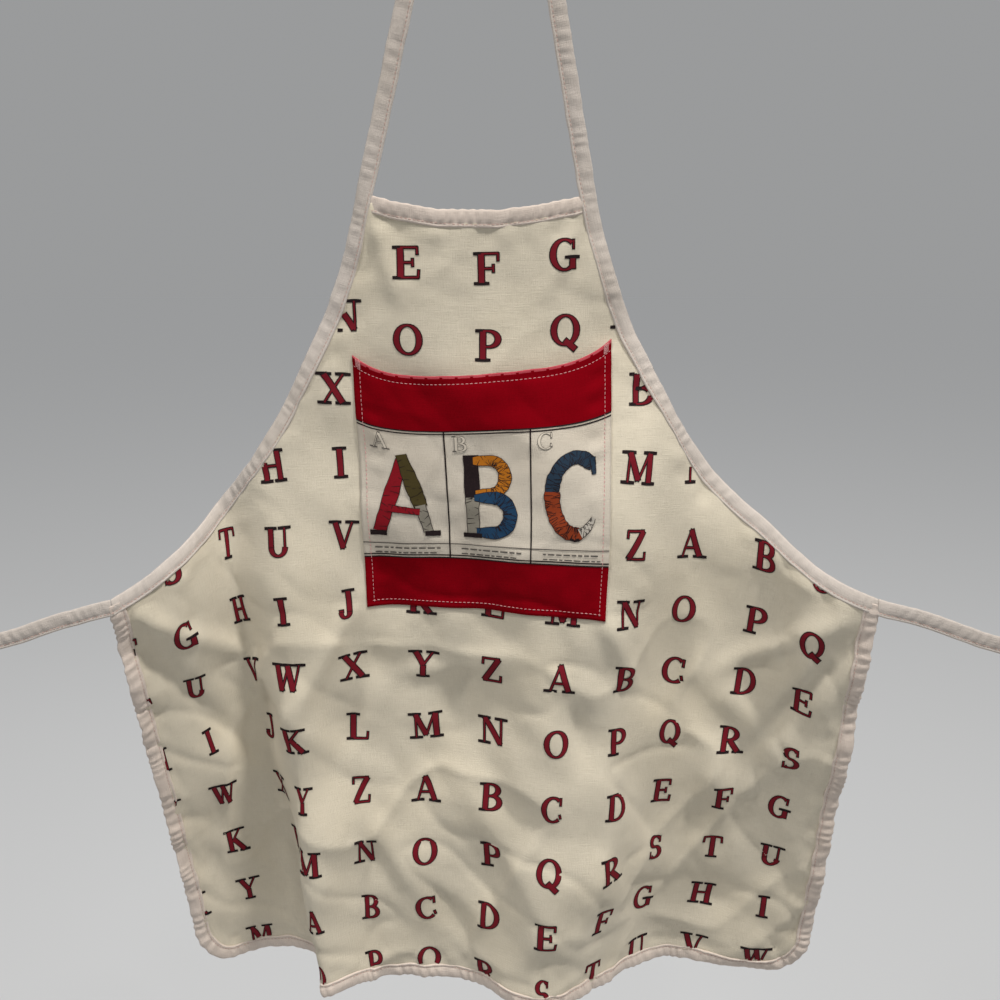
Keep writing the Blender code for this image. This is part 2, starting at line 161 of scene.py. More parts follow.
def sideAndHem(s, inset):                  # right side, corner and half the hem, s metres from the waist
    radius, corner = cut["cornerRadius"] - inset, cut["cornerRadius"]
    straight = cut["height"] - corner - waistV
    bend = math.pi / 2 * corner
    if s < straight:
        return (cut["halfWidth"] - inset, waistV + s)
    if s < straight + bend:
        angle = (s - straight) / corner
        return (cut["halfWidth"] - corner + radius * math.cos(angle),
                cut["height"] - corner + radius * math.sin(angle))
    return (cut["halfWidth"] - corner - (s - straight - bend), cut["height"] - inset)


sideRun = (cut["height"] - cut["cornerRadius"] - waistV + math.pi / 2 * cut["cornerRadius"]
           + cut["halfWidth"] - cut["cornerRadius"])


def cutOutline():
    right = [sideAndHem(s, 0.0) for s in np.linspace(sideRun, 0, 90)]
    right += [tuple(p) for p in armhole(np.linspace(1, 0, 60))]
    top = [(u, cut["bibDip"] * (1 - (u / cut["bibHalf"]) ** 2)) for u in np.linspace(0.093, 0, 12)]
    half = np.array(right + top)
    mirror = half[::-1] * np.array((-1, 1))
    return np.concatenate((half, mirror[1:-1]))


outline = cutOutline()


def insetDepth(u, v):                      # how far a pattern point lies inside the cut's edge
    points = np.stack((np.ravel(u), np.ravel(v)), -1)
    a, b = outline, np.roll(outline, -1, 0)
    edge = b - a
    length = (edge ** 2).sum(-1)
    near = np.full(len(points), 9.0)
    inside = np.zeros(len(points), bool)
    for k in range(len(a)):
        if length[k] < 1e-12:
            continue
        t = np.clip(((points - a[k]) @ edge[k]) / length[k], 0, 1)
        near = np.minimum(near, np.linalg.norm(points - (a[k] + t[:, None] * edge[k]), axis=1))
        spans = (a[k][1] > points[:, 1]) != (b[k][1] > points[:, 1])
        if spans.any():
            cross = a[k][0] + (points[:, 1] - a[k][1]) * edge[k][0] / (edge[k][1] or 1e-12)
            inside ^= spans & (points[:, 0] < cross)
    return np.where(inside, near, -near).reshape(np.shape(u))


wrinkles = (
    # height on the bib, more on the skirt, u along (u, v), v along (u, v), size, seed, sharpness or 0
    (0.0040, 0.0046, (1, 0.35), (0, 0.62), 0.085, 3, 0), (0.0024, 0.0018, (1, -0.5), (0, 0.8), 0.040, 8, 0),
    (0.0012, 0.0026, (1, 0.6), (-0.2, 0.7), 0.075, 15, 4),
    (-0.0008, -0.0014, (0.9, -0.7), (0, 1), 0.050, 16, 5),
    (0.00026, 0.0, (1, 0), (0, 1), 0.011, 12, 0),
)
gathers = {"in": 0.021, "width": 0.009, "height": 0.0017, "size": 0.014, "seed": 21}   # along the bindings


def relief(u, v, inset=None):              # folds too small for the fold lines, along the normal
    u, v = np.asarray(u, float), np.asarray(v, float)
    skirt = smoothStep((v - 0.26) / 0.15)
    height = 0.0
    for low, more, (uu, uv), (vu, vv), size, seed, sharp in wrinkles:
        wave = softNoise(uu * u + uv * v, vu * u + vv * v, size, seed)
        height = height + (low + more * skirt) * ((1.0 - np.abs(wave)) ** sharp if sharp else wave)
    for (u0, v0), (u1, v1), width, rise in creases:
        du, dv = u1 - u0, v1 - v0
        t = ((u - u0) * du + (v - v0) * dv) / (du * du + dv * dv)
        side = ((u - u0) * dv - (v - v0) * du) / math.hypot(du, dv)
        fade = smoothStep((t + 0.15) / 0.35) * smoothStep((1.15 - t) / 0.5)
        height += 1.5 * rise * fade * np.exp(-(side / (0.85 * width)) ** 2)
    corner = np.hypot(np.abs(u) - cut["halfWidth"], v - waistV)
    height = height * smoothStep((corner - 0.004) / 0.05)    # the ties hold the corners still
    if inset is not None:
        near = np.exp(-((inset - gathers["in"]) / gathers["width"]) ** 2)
        height += gathers["height"] * near * softNoise(u, v, gathers["size"], gathers["seed"])
    return height


def clothPoint(u, v, lift=0.0, inset=None):
    offset = relief(u, v, inset) + lift
    return hang(u, v) + hangNormal(u, v) * np.asarray(offset)[..., None]


def addNode(tree, kind, sockets=None, **settings):   # sockets take plain values or other nodes' outputs
    node = tree.nodes.new(kind)
    for name, value in settings.items():
        setattr(node, name, value)
    for socket, value in (sockets or {}).items():
        if isinstance(value, bpy.types.NodeSocket):
            tree.links.new(value, node.inputs[socket])
        else:
            node.inputs[socket].default_value = value
    return node


def mathNode(tree, operation, *values):
    return addNode(tree, "ShaderNodeMath", dict(enumerate(values)), operation=operation).outputs[0]


def noiseNode(tree, vector, scale, detail=3.0, rough=0.55):
    return addNode(tree, "ShaderNodeTexNoise", {"Vector": vector, "Scale": scale, "Detail": detail,
                                                "Roughness": rough}).outputs["Fac"]


def mixColour(tree, factor, a, b):
    a, b = ((*c, 1.0) if isinstance(c, tuple) else c for c in (a, b))
    return addNode(tree, "ShaderNodeMix", {0: factor, 6: a, 7: b}, data_type='RGBA').outputs[2]


def newGroup(name, inputs, outputs):
    group = bpy.data.node_groups.new(name, "ShaderNodeTree")
    face = group.interface
    face.new_socket(name="Vector", in_out='INPUT', socket_type='NodeSocketVector')
    for label, value in inputs.items():
        face.new_socket(name=label, in_out='INPUT', socket_type='NodeSocketFloat').default_value = value
    for label in outputs:
        face.new_socket(name=label, in_out='OUTPUT', socket_type='NodeSocketFloat')
    return group, group.nodes.new("NodeGroupInput").outputs, group.nodes.new("NodeGroupOutput").inputs


def buildWeave():                          # plain weave read from UVs in metres
    group, given, out = newGroup("plainWeave", {"Threads Per Metre": 1400.0, "Slub": 0.5},
                                 ("Height", "Tone"))
    split = addNode(group, "ShaderNodeSeparateXYZ", {0: given["Vector"]}).outputs
    turns = mathNode(group, 'MULTIPLY', given["Threads Per Metre"], math.pi)
    warp, weft = (mathNode(group, 'SINE', mathNode(group, 'MULTIPLY', split[axis], turns)) for axis in "XY")
    over = mathNode(group, 'ABSOLUTE', mathNode(group, 'MULTIPLY', warp, weft))
    fibres = []
    for stretch in ((70.0, 1300.0, 1.0), (1300.0, 90.0, 1.0)):
        drawn = addNode(group, "ShaderNodeVectorMath", {0: given["Vector"], 1: stretch},
                        operation='MULTIPLY')
        fibres.append(noiseNode(group, drawn.outputs[0], 1.0, 2.0, 0.6))
    slubs = mathNode(group, 'MULTIPLY', mathNode(group, 'ADD', *fibres), given["Slub"])
    height = mathNode(group, 'ADD', mathNode(group, 'MULTIPLY', over, 0.25), slubs)
    group.links.new(height, out["Height"])
    # the tone follows the height: the gaps between threads get painted shade, and the slubs add the threads'
    # own uneven tone
    group.links.new(mathNode(group, 'MULTIPLY', height, 0.8), out["Tone"])
    return group


def buildSoiling():                        # broad faint stains and small flecks, 0 to 1
    group, given, out = newGroup("soiling", {"Stain Scale": 7.0, "Fleck Scale": 220.0}, ("Stain", "Fleck"))
    for label, detail, low, high in (("Stain", 5.0, 0.45, 0.75), ("Fleck", 2.0, 0.55, 0.8)):
        cloud = addNode(group, "ShaderNodeTexNoise", {"Vector": given["Vector"], "Detail": detail,
                                                      "Scale": given[label + " Scale"]})
        ramp = addNode(group, "ShaderNodeMapRange", {"From Min": low, "From Max": high,
                                                     "Value": cloud.outputs["Fac"]})
        group.links.new(ramp.outputs[0], out[label])
    return group


weaveGroup, soilingGroup = buildWeave(), buildSoiling()


def newFinish(name, **plain):              # a material, with plain values on the shader's own sockets
    mat = bpy.data.materials.new(name)
    mat.use_nodes = True
    shader = mat.node_tree.nodes["Principled BSDF"].inputs
    for label, value in plain.items():
        shader[label.replace("_", " ")].default_value = value
    return mat, mat.node_tree, shader


def feed(tree, shader, colour, height, depth):   # the colour, and the bump that its height map gives
    tree.links.new(colour, shader["Base Color"])
    bumps = addNode(tree, "ShaderNodeBump", {"Height": height, "Distance": depth})
    tree.links.new(bumps.outputs[0], shader["Normal"])


def clothMaterial(name, base, dark, stain, threads=1400.0, bump=0.00060, sheen=0.12, stainAmount=0.5,
                  stainScale=7.0, fuzz=0.5, gloss=0.12):
    mat, tree, shader = newFinish(name, Roughness=0.92, Specular_IOR_Level=gloss, Sheen_Weight=sheen,
                                  Sheen_Roughness=0.5)
    uv = addNode(tree, "ShaderNodeUVMap", uv_map="flat").outputs[0]
    weave = addNode(tree, "ShaderNodeGroup", {"Vector": uv, "Threads Per Metre": threads, "Slub": fuzz},
                    node_tree=weaveGroup).outputs
    soil = addNode(tree, "ShaderNodeGroup", {"Vector": uv, "Stain Scale": stainScale},
                   node_tree=soilingGroup).outputs
    # painted shade in the weave's thread gaps, mixed with the threads' own slub tone
    wovenShadeAndTone = mixColour(tree, weave["Tone"], dark, base)
    stained = mixColour(tree, mathNode(tree, 'MULTIPLY', soil["Stain"], stainAmount), wovenShadeAndTone, stain)
    flecked = mixColour(tree, mathNode(tree, 'MULTIPLY', soil["Fleck"], 0.18), stained, dark)
    feed(tree, shader, flecked, weave["Height"], bump)
    return mat


def printMaterial(name, ink, cloth, wear):
    mat, tree, shader = newFinish(name, Roughness=0.85, Specular_IOR_Level=0.2)
    where = addNode(tree, "ShaderNodeTexCoord").outputs["Object"]
    worn = addNode(tree, "ShaderNodeMapRange", {"From Min": 0.55, "From Max": 0.8,
                                                "Value": noiseNode(tree, where, 900.0, 3.0, 0.7)}).outputs[0]
    tone = mixColour(tree, mathNode(tree, 'MULTIPLY', worn, wear), ink, cloth)
    feed(tree, shader, tone, noiseNode(tree, where, 1500.0, 2.0), 0.00015)
    return mat


def steelMaterial(name, base, rough):      # brushed lengthwise, with faint smudges
    mat, tree, shader = newFinish(name, Metallic=1.0)
    where = addNode(tree, "ShaderNodeTexCoord").outputs["Object"]
    stretch = addNode(tree, "ShaderNodeMapping", {"Vector": where, "Scale": (1.0, 1.0, 0.04)})
    grain = noiseNode(tree, stretch.outputs[0], 1800.0, 3.0)
    smudge = mathNode(tree, 'MULTIPLY', noiseNode(tree, where, 60.0, 4.0), 0.5)
    roughness = mathNode(tree, 'ADD', mathNode(tree, 'MULTIPLY', grain, 0.25), rough)
    tree.links.new(roughness, shader["Roughness"])
    feed(tree, shader, mixColour(tree, smudge, base, tuple(c * 0.7 for c in base)), grain, 0.00004)
    return mat


print("mixing the finishes")
finishes = {
    "canvas": clothMaterial("printedCanvas", (0.80, 0.735, 0.605), (0.57, 0.51, 0.395), (0.66, 0.58, 0.43)),
    "tape": clothMaterial("cottonTape", (0.66, 0.60, 0.55), (0.50, 0.44, 0.39), (0.56, 0.49, 0.41),
                          threads=1700.0, bump=0.00045, fuzz=0.8),
    "hemTape": clothMaterial("hemTape", (0.72, 0.63, 0.56), (0.55, 0.46, 0.40), (0.60, 0.50, 0.42),
                             threads=1700.0, bump=0.00045, fuzz=0.8),
    "red": clothMaterial("redPocketCanvas", (0.26, 0.0004, 0.006), (0.15, 0.0002, 0.003),
                         (0.20, 0.0003, 0.004), threads=1100.0, bump=0.0003, gloss=0.03, sheen=0.004,
                         stainAmount=0.6, stainScale=14.0),
    "panel": clothMaterial("pocketPanelCanvas", (0.72, 0.66, 0.57), (0.56, 0.50, 0.41), (0.56, 0.48, 0.38),
                           threads=1400.0, stainScale=12.0),
    "worn": clothMaterial("wornRedEdge", (0.62, 0.12, 0.14), (0.38, 0.02, 0.04), (0.5, 0.05, 0.07)),
    "thread": printMaterial("paleThread", (0.56, 0.40, 0.35), (0.42, 0.28, 0.24), 0.6),
    "pinkThread": printMaterial("pinkThread", (0.66, 0.33, 0.33), (0.50, 0.2, 0.2), 0.6),
    "crimsonInk": printMaterial("crimsonInk", (0.155, 0.004, 0.012), (0.30, 0.03, 0.03), 0.35),
    "blackInk": printMaterial("blackInk", (0.012, 0.006, 0.007), (0.10, 0.05, 0.05), 0.35),
    "greyInk": printMaterial("greyInk", (0.10, 0.09, 0.08), (0.4, 0.37, 0.3), 0.6),
    "hookSteel": steelMaterial("hookSteel", tuple(colours["hook_steel"]), 0.26),
    "screwSteel": steelMaterial("screwSteel", tuple(colours["screw_steel"]), 0.22),
}
patchInk = {
    "scarlet": (0.23, 0.003, 0.010), "olive": (0.060, 0.045, 0.012), "stone": (0.24, 0.22, 0.18),
    "marigold": (0.42, 0.14, 0.008), "blue": (0.010, 0.042, 0.095), "navy": (0.016, 0.034, 0.060),
    "rust": (0.26, 0.040, 0.010), "chalk": (0.50, 0.46, 0.40),
}
for inkName, ink in patchInk.items():
    finishes[inkName] = printMaterial(inkName + "Ink", ink, tuple(c * 0.35 for c in ink), 0.8)


def meshObject(name, points, faces, finish, uvs=None, faceFinish=None):   # finish: one name or a list
    mesh = bpy.data.meshes.new(name)
    mesh.from_pydata([tuple(p) for p in points], [], faces)
    for item in ([finish] if isinstance(finish, str) else finish):
        mesh.materials.append(finishes[item])
    if faceFinish is not None:
        mesh.polygons.foreach_set("material_index", faceFinish)
    if uvs is not None:
        layer = mesh.uv_layers.new(name="flat")
        corner = np.empty(len(mesh.loops), int)
        mesh.loops.foreach_get("vertex_index", corner)
        layer.data.foreach_set("uv", np.asarray(uvs, float)[corner].ravel())
    mesh.polygons.foreach_set("use_smooth", [True] * len(mesh.polygons))
    mesh.update()
    thing = bpy.data.objects.new(name, mesh)
    bpy.context.collection.objects.link(thing)
    return thing


def faceOutwards(thing, weld=0.0):
    bm = bmesh.new()
    bm.from_mesh(thing.data)
    if weld:
        bmesh.ops.remove_doubles(bm, verts=bm.verts, dist=weld)
    bmesh.ops.recalc_face_normals(bm, faces=bm.faces)
    bm.to_mesh(thing.data)
    bm.free()


def bake(thing):                           # live modifiers become plain mesh
    graph = bpy.context.evaluated_depsgraph_get()
    mesh = bpy.data.meshes.new_from_object(thing.evaluated_get(graph))
    thing.modifiers.clear()
    thing.data = mesh


def thicken(thing, thickness):             # a sheet gets a back and edges
    skin = thing.modifiers.new("thickness", 'SOLIDIFY')
    skin.thickness = thickness
    skin.offset = 0.0
    bake(thing)


def buildStitchTree():                     # a row of sewn threads along a line of edges
    tree = bpy.data.node_groups.new("stitchRow", "GeometryNodeTree")
    face = tree.interface
    face.new_socket(name="Geometry", in_out='INPUT', socket_type='NodeSocketGeometry')
    for label, value in (("Pitch", 0.0030), ("Stitch Length", 0.0023), ("Thread Radius", 0.00028)):
        face.new_socket(name=label, in_out='INPUT', socket_type='NodeSocketFloat').default_value = value
    face.new_socket(name="Finish", in_out='INPUT', socket_type='NodeSocketMaterial')
    face.new_socket(name="Geometry", in_out='OUTPUT', socket_type='NodeSocketGeometry')
    given, end = tree.nodes.new("NodeGroupInput").outputs, tree.nodes.new("NodeGroupOutput")
    line = addNode(tree, "GeometryNodeMeshToCurve", {0: given["Geometry"]})
    spaced = addNode(tree, "GeometryNodeResampleCurve", {"Curve": line.outputs[0], "Length": given["Pitch"]},
                     mode='LENGTH')
    ball = addNode(tree, "GeometryNodeMeshUVSphere", {"Segments": 6, "Rings": 4, "Radius": 1.0})
    half = mathNode(tree, 'MULTIPLY', given["Stitch Length"], 0.5)
    size = addNode(tree, "ShaderNodeCombineXYZ", {"X": given["Thread Radius"], "Y": given["Thread Radius"],
                                                  "Z": half})
    tangent = addNode(tree, "GeometryNodeInputTangent")
    align = addNode(tree, "FunctionNodeAlignRotationToVector", {"Vector": tangent.outputs[0]}, axis='Z')
    wobble = addNode(tree, "FunctionNodeRandomValue", {"Min": (-0.10, -0.10, 0.0), "Max": (0.10, 0.10, 0.0),
                                                       "Seed": 5}, data_type='FLOAT_VECTOR')
    spin = addNode(tree, "FunctionNodeEulerToRotation", {0: wobble.outputs[0]})
    turn = addNode(tree, "FunctionNodeRotateRotation", {0: align.outputs[0], 1: spin.outputs[0]},
                   rotation_space='LOCAL')
    place = addNode(tree, "GeometryNodeInstanceOnPoints", {
        "Points": spaced.outputs[0], "Instance": ball.outputs[0], "Rotation": turn.outputs[0],
        "Scale": size.outputs[0]})
    real = addNode(tree, "GeometryNodeRealizeInstances", {0: place.outputs[0]})
    coat = addNode(tree, "GeometryNodeSetMaterial", {"Geometry": real.outputs[0],
                                                     "Material": given["Finish"]})
    tree.links.new(coat.outputs[0], end.inputs[0])
    return tree


stitchTree = buildStitchTree()


def stitches(name, runs, finish, pitch=0.0034, length=0.0025, radius=0.00036):
    points, edges = [], []
    for run in runs:
        first = len(points)
        points += [tuple(p) for p in run]
        edges += [(first + k, first + k + 1) for k in range(len(run) - 1)]
    mesh = bpy.data.meshes.new(name)
    mesh.from_pydata(points, edges, [])
    thing = bpy.data.objects.new(name, mesh)
    bpy.context.collection.objects.link(thing)
    rows = thing.modifiers.new("stitchRow", 'NODES')
    rows.node_group = stitchTree
    ids = {s.name: s.identifier for s in stitchTree.interface.items_tree if s.in_out == 'INPUT'}
    for label, value in (("Pitch", pitch), ("Stitch Length", length), ("Thread Radius", radius),
                         ("Finish", finishes[finish])):
        rows[ids[label]] = value
    bake(thing)
    return thing


print("setting the camera, floor and lights")
view = {"place": (0.008, -0.875, -0.398), "tilt": 14.0, "lens": 36.0}
camera = bpy.data.objects.new("camera", bpy.data.cameras.new("camera"))
camera.data.sensor_width = 36.0
camera.data.lens = view["lens"]
camera.data.clip_start = 0.02
camera.location = view["place"]
camera.rotation_euler = (math.radians(90.0 - view["tilt"]), 0.0, 0.0)
bpy.context.collection.objects.link(camera)
bpy.context.scene.camera = camera
bpy.context.scene.view_settings.view_transform = 'Standard'

studio = {
    "floorZ": -1.75, "floorReach": 30, "floorBase": (0.34, 0.345, 0.35, 1),
    "floorGlow": (0.80, 0.81, 0.82, 1), "floorGlowStrength": 0.37,
    "world": (0.86, 0.87, 0.88, 1), "worldStrength": 0.075, "worldSeen": 0.30, "poolAngle": 31,
}
lamps = {
    # kind, place, target, size, power, colour; the spot is a soft pool of light on the skirt
    "keyLight": ('AREA', (1.5, -1.35, 3.6), (0, -0.06, -0.75), 0.45, 190, (1.0, 0.965, 0.92)),
    "sideLight": ('AREA', (-1.7, -1.25, 3.2), (0, -0.06, -0.75), 0.45, 80, (1.0, 0.975, 0.94)),
    "fillLight": ('AREA', (0.2, -2.6, -0.2), (0, -0.05, -0.75), 2.0, 1.0, (0.95, 0.97, 1.0)),
    "backLight": ('AREA', (-0.6, 1.8, 0.6), (0, -0.05, -0.70), 1.4, 9, (1, 1, 1)),
    "poolLight": ('SPOT', (0.25, -1.35, 0.75), (-0.03, -0.07, -0.93), 0.12, 38, (1.0, 0.985, 0.95)),
}
floorCoat, _, _ = newFinish("paleFloor", Base_Color=studio["floorBase"], Roughness=0.9,
                            Emission_Color=studio["floorGlow"],
                            Emission_Strength=studio["floorGlowStrength"])
reach = studio["floorReach"]
floorMesh = bpy.data.meshes.new("floor")
corners = ((-reach, -reach), (reach, -reach), (reach, reach), (-reach, reach))
floorMesh.from_pydata([(x, y, studio["floorZ"]) for x, y in corners], [], [(0, 1, 2, 3)])
floorMesh.materials.append(floorCoat)
floor = bpy.data.objects.new("floor", floorMesh)
bpy.context.collection.objects.link(floor)
world = bpy.data.worlds.new("studio")
world.use_nodes = True
sky = world.node_tree
seen = mathNode(sky, 'MULTIPLY', addNode(sky, "ShaderNodeLightPath").outputs[0], studio["worldSeen"])
sky.nodes["Background"].inputs[0].default_value = studio["world"]
sky.links.new(mathNode(sky, 'ADD', seen, studio["worldStrength"]), sky.nodes["Background"].inputs[1])
bpy.context.scene.world = world

for name, (kind, place, target, size, power, colour) in lamps.items():
    lamp = bpy.data.lights.new(name, kind)
    lamp.energy = power
    lamp.color = colour
    if kind == 'AREA':
        lamp.shape = 'DISK'
        lamp.size = size
    else:
        lamp.shadow_soft_size = size
        lamp.spot_size = math.radians(studio["poolAngle"])
        lamp.spot_blend = 1.0
    holder = bpy.data.objects.new(name, lamp)
    holder.location = place
    holder.rotation_euler = (Vector(target) - Vector(place)).to_track_quat('-Z', 'Y').to_euler()
    bpy.context.collection.objects.link(holder)

tapeForm = {
    # across the tape, 0 at the folded outer edge and 1 at the stitched inner edge
    "across": (0.0, 0.04, 0.12, 0.28, 0.45, 0.62, 0.74, 0.80, 0.88, 0.97, 1.0),
    "front": (0.0, 0.6, 1.0, 1.3, 1.4, 1.2, 0.7, 0.42, 0.95, 0.85, 0.0),
    "rise": 0.00118, "back": 0.8, "stitchAt": 0.80, "stitchLift": 0.0002, "step": 0.0012,
}
tapeW = cut["tapeWidth"]


def tapeMesh(name, centre, inward, front, finish, seed, pucker, wobble=0.0005, beads=0.0100):
    along = np.concatenate(([0.0], np.cumsum(np.linalg.norm(np.diff(centre, axis=0), axis=1))))
    across, height = np.array(tapeForm["across"]), np.array(tapeForm["front"])
    ringAcross = np.concatenate((across, across[-2:0:-1]))[None]
    ringHeight = np.concatenate((height, -tapeForm["back"] * np.minimum(height, 1.0)[-2:0:-1]))[None]
    side = np.concatenate((np.ones(len(across)), -np.ones(len(across) - 2)))
    rings, count = len(centre), ringAcross.size
    bulge = np.sin(np.clip(ringAcross, 0, 1) * math.pi) ** 0.8
    s, level = along[:, None] + 0 * ringAcross, 0 * ringAcross
    phase = (s + 0.003 * ringAcross) / beads + softNoise(s, level, 0.021, seed + 3)
    lump = 1.5 * np.sin(math.pi * phase) ** 2 - 0.75
    lump = lump * (0.75 + 0.5 * softNoise(s, level, 0.011, seed))
    slow = softNoise(s + 0.004 * ringAcross, ringAcross * 0.004 + seed, 0.021, seed + 40)
    swell = 1.0 + pucker * bulge * (lump + 0.5 * slow)
    edge = wobble * softNoise(s, ringAcross * 0.001, 0.012, seed + 7)
    w = (ringAcross - 0.5) * tapeW + edge - 0.9 * wobble * pucker * lump * (1 - ringAcross) ** 2
    h = ringHeight * tapeForm["rise"] * np.where(ringHeight > 0, swell, 1.0)
    points = centre[:, None] + w[..., None] * inward[:, None] + h[..., None] * front[:, None]
    faces = [(a + i, a + (i + 1) % count, a + count + (i + 1) % count, a + count + i)
             for a in range(0, (rings - 1) * count, count) for i in range(count)]
    faces.append(tuple(range(count - 1, -1, -1)))
    faces.append(tuple(range((rings - 1) * count, rings * count)))
    uvs = np.stack((np.repeat(along, count), np.tile(ringAcross[0] * tapeW * side, rings)), -1)
    thing = meshObject(name, points.reshape(-1, 3), faces, finish, uvs)
    faceOutwards(thing)
    lift = tapeForm["rise"] * 0.45 + tapeForm["stitchLift"]
    return thing, centre + inward * ((tapeForm["stitchAt"] - 0.5) * tapeW) + front * lift


def alongPattern(outer, inner):            # centre, inward and front from two pattern lines
    outer, inner = np.asarray(outer), np.asarray(inner)
    middle = (outer + inner) / 2
    inward = clothPoint(inner[:, 0], inner[:, 1]) - clothPoint(outer[:, 0], outer[:, 1])
    inward /= np.linalg.norm(inward, axis=1, keepdims=True)
    centre = clothPoint(middle[:, 0], middle[:, 1])
    front = np.cross(np.gradient(centre, axis=0), inward)
    front /= np.linalg.norm(front, axis=1, keepdims=True)
    facing = hangNormal(middle[:, 0], middle[:, 1])
    return centre, inward, front * np.sign((front * facing).sum(1))[:, None]


print("sewing the tapes")
ties = {
    # the roots at the waist corners, each tie's route outwards and up from its root, and the knots' size
    "leftRoot": (-0.3183, -0.1043, -0.6792), "rightRoot": (0.3262, -0.1023, -0.6792),
    "left": ((0.0, 0.0), (0.034, -0.0135), (0.068, -0.0255), (0.102, -0.0355), (0.128, -0.0415)),
    "right": ((0.0, 0.0), (0.034, -0.0140), (0.068, -0.0265), (0.102, -0.0370), (0.126, -0.0425)),
    "knot": (0.0105, 0.0085, 0.0095), "bendShare": 0.176, "points": 120,
}
strap = {"rodRadius": 0.004, "gap": 0.0015, "steps": 240, "turnBy": 0.29, "joinFrom": 0.9, "bow": 0.0022,
         "armholeSteps": 330, "join": 7, "arcSteps": 14}


def strapSide(side):                       # where the tape leaves the rod, its lean, and its bend's radius
    radius = strap["rodRadius"] + strap["gap"]
    drop = Vector(hang(side * (cut["bibHalf"] - tapeW / 2), 0.0)) - saddle
    reach = math.hypot(drop.x, drop.z)
    lean = math.atan2(abs(drop.x), -drop.z) - math.asin(radius / reach)
    start = saddle + Vector((side * radius * math.cos(lean), 0, radius * math.sin(lean)))
    return start, lean, radius


def neckAndArmholes():                     # one tape: armhole, strap, over the rod, strap, armhole
    last, join = strap["armholeSteps"] - 1, strap["join"]
    hole = {}
    for side in (-1, 1):
        t, flip = np.linspace(0.0, 1.0, strap["armholeSteps"]), np.array((side, 1.0))
        hole[side] = alongPattern(armholeInset(t, 0.0) * flip, armholeInset(t, tapeW) * flip)
    rows = [tuple(part[k] for part in hole[-1]) for k in range(last, join, -1)]
    for side in (-1, 1):
        start, _, _ = strapSide(side)
        low = Vector(hole[side][0][join])
        way = (low - start).normalized()
        run = []
        for k in range(strap["steps"] + 1):
            share = k / strap["steps"]          # 0 at the rod, 1 at the bib
            turn = float(smoothStep(share / strap["turnBy"])) * math.pi / 2
            wide = Vector((0, -1, 0)) * math.cos(turn) + Vector((-side, 0, 0)) * math.sin(turn)
            wide = (wide - way * wide.dot(way)).normalized()
            out = way.cross(wide) * -side
            if share > strap["joinFrom"]:       # into the armhole's own lie
                mix = float(smoothStep((share - strap["joinFrom"]) / (1 - strap["joinFrom"])))
                wide = (wide * (1 - mix) + Vector(hole[side][1][join]) * mix).normalized()
                out = (out * (1 - mix) + Vector(hole[side][2][join]) * mix).normalized()
            bow = side * strap["bow"] * math.sin(share * math.pi) ** 2
            run.append((start.lerp(low, share) + Vector((bow, 0, 0)), wide, out))
        rows += run[::-1][1:] if side < 0 else run[:-1]
        if side < 0:
            arcFrom, (_, arcTo, radius) = math.pi - strapSide(-1)[1], strapSide(1)
            for k in range(1, strap["arcSteps"]):
                angle = arcFrom + (arcTo - arcFrom) * k / strap["arcSteps"]
                ray = Vector((math.cos(angle), 0, math.sin(angle)))
                rows.append((saddle + ray * radius, (0, -1, 0), ray))
    rows += [tuple(part[k] for part in hole[1]) for k in range(join, last + 1)]
    return [np.array([tuple(row[i]) for row in rows], float) for i in range(3)]


centre, inward, front = neckAndArmholes()
tapeEnds = {"left": (centre[0], inward[0], front[0]), "right": (centre[-1], inward[-1], front[-1])}
neckTape, neckLine = tapeMesh("neckAndArmholeTape", centre, inward, front, "tape", 31, pucker=0.38,
                              beads=0.0120)
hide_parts("neck_bight", "left_neck_strap", "right_neck_strap", "left_armhole_binding",
            "right_armhole_binding")
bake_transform(neckTape)

topEnd = cut["bibHalf"] - tapeW * 0.72
us = np.linspace(-topEnd, topEnd, 170)
dip = cut["bibDip"] * (1 - (us / cut["bibHalf"]) ** 2)
centre, inward, front = alongPattern(np.stack((us, dip), -1), np.stack((us, dip + tapeW), -1))
tuck = 0.0011 * smoothStep((np.abs(us) - 0.078) / 0.006)    # its ends pass behind the armhole tape
centre = centre - front * tuck[:, None]
bibTape, bibLine = tapeMesh("bibTopTape", centre, inward, front, "hemTape", 55, pucker=0.66,
                            wobble=0.0008, beads=0.0088)
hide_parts("bib_top_binding")
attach(bibTape, "apron")

# sides and hem in one run, from the left waist round to the right
runS = np.linspace(-sideRun, sideRun, int(2 * sideRun / tapeForm["step"]))
mirror = np.stack((np.sign(runS), np.ones(len(runS))), -1)
outer, inner = (np.array([sideAndHem(sideRun - abs(s), gap) for s in runS]) * mirror for gap in (0.0, tapeW))
keep = outer[:, 1] > waistV + 0.004
centre, inward, front = alongPattern(outer[keep], inner[keep])
hemTape, hemLine = tapeMesh("sideAndHemTape", centre, inward, front, "hemTape", 77, pucker=0.66,
                            wobble=0.0011, beads=0.0098)
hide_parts("left_side_binding", "right_side_binding", "bottom_binding")
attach(hemTape, "apron")

for name, line in (("neckTapeStitches", neckLine), ("bibTopStitches", bibLine),
                   ("sideAndHemStitches", hemLine)):
    row = stitches(name, [line], "thread")
    if line is neckLine:
        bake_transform(row)
    else:
        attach(row, "apron")

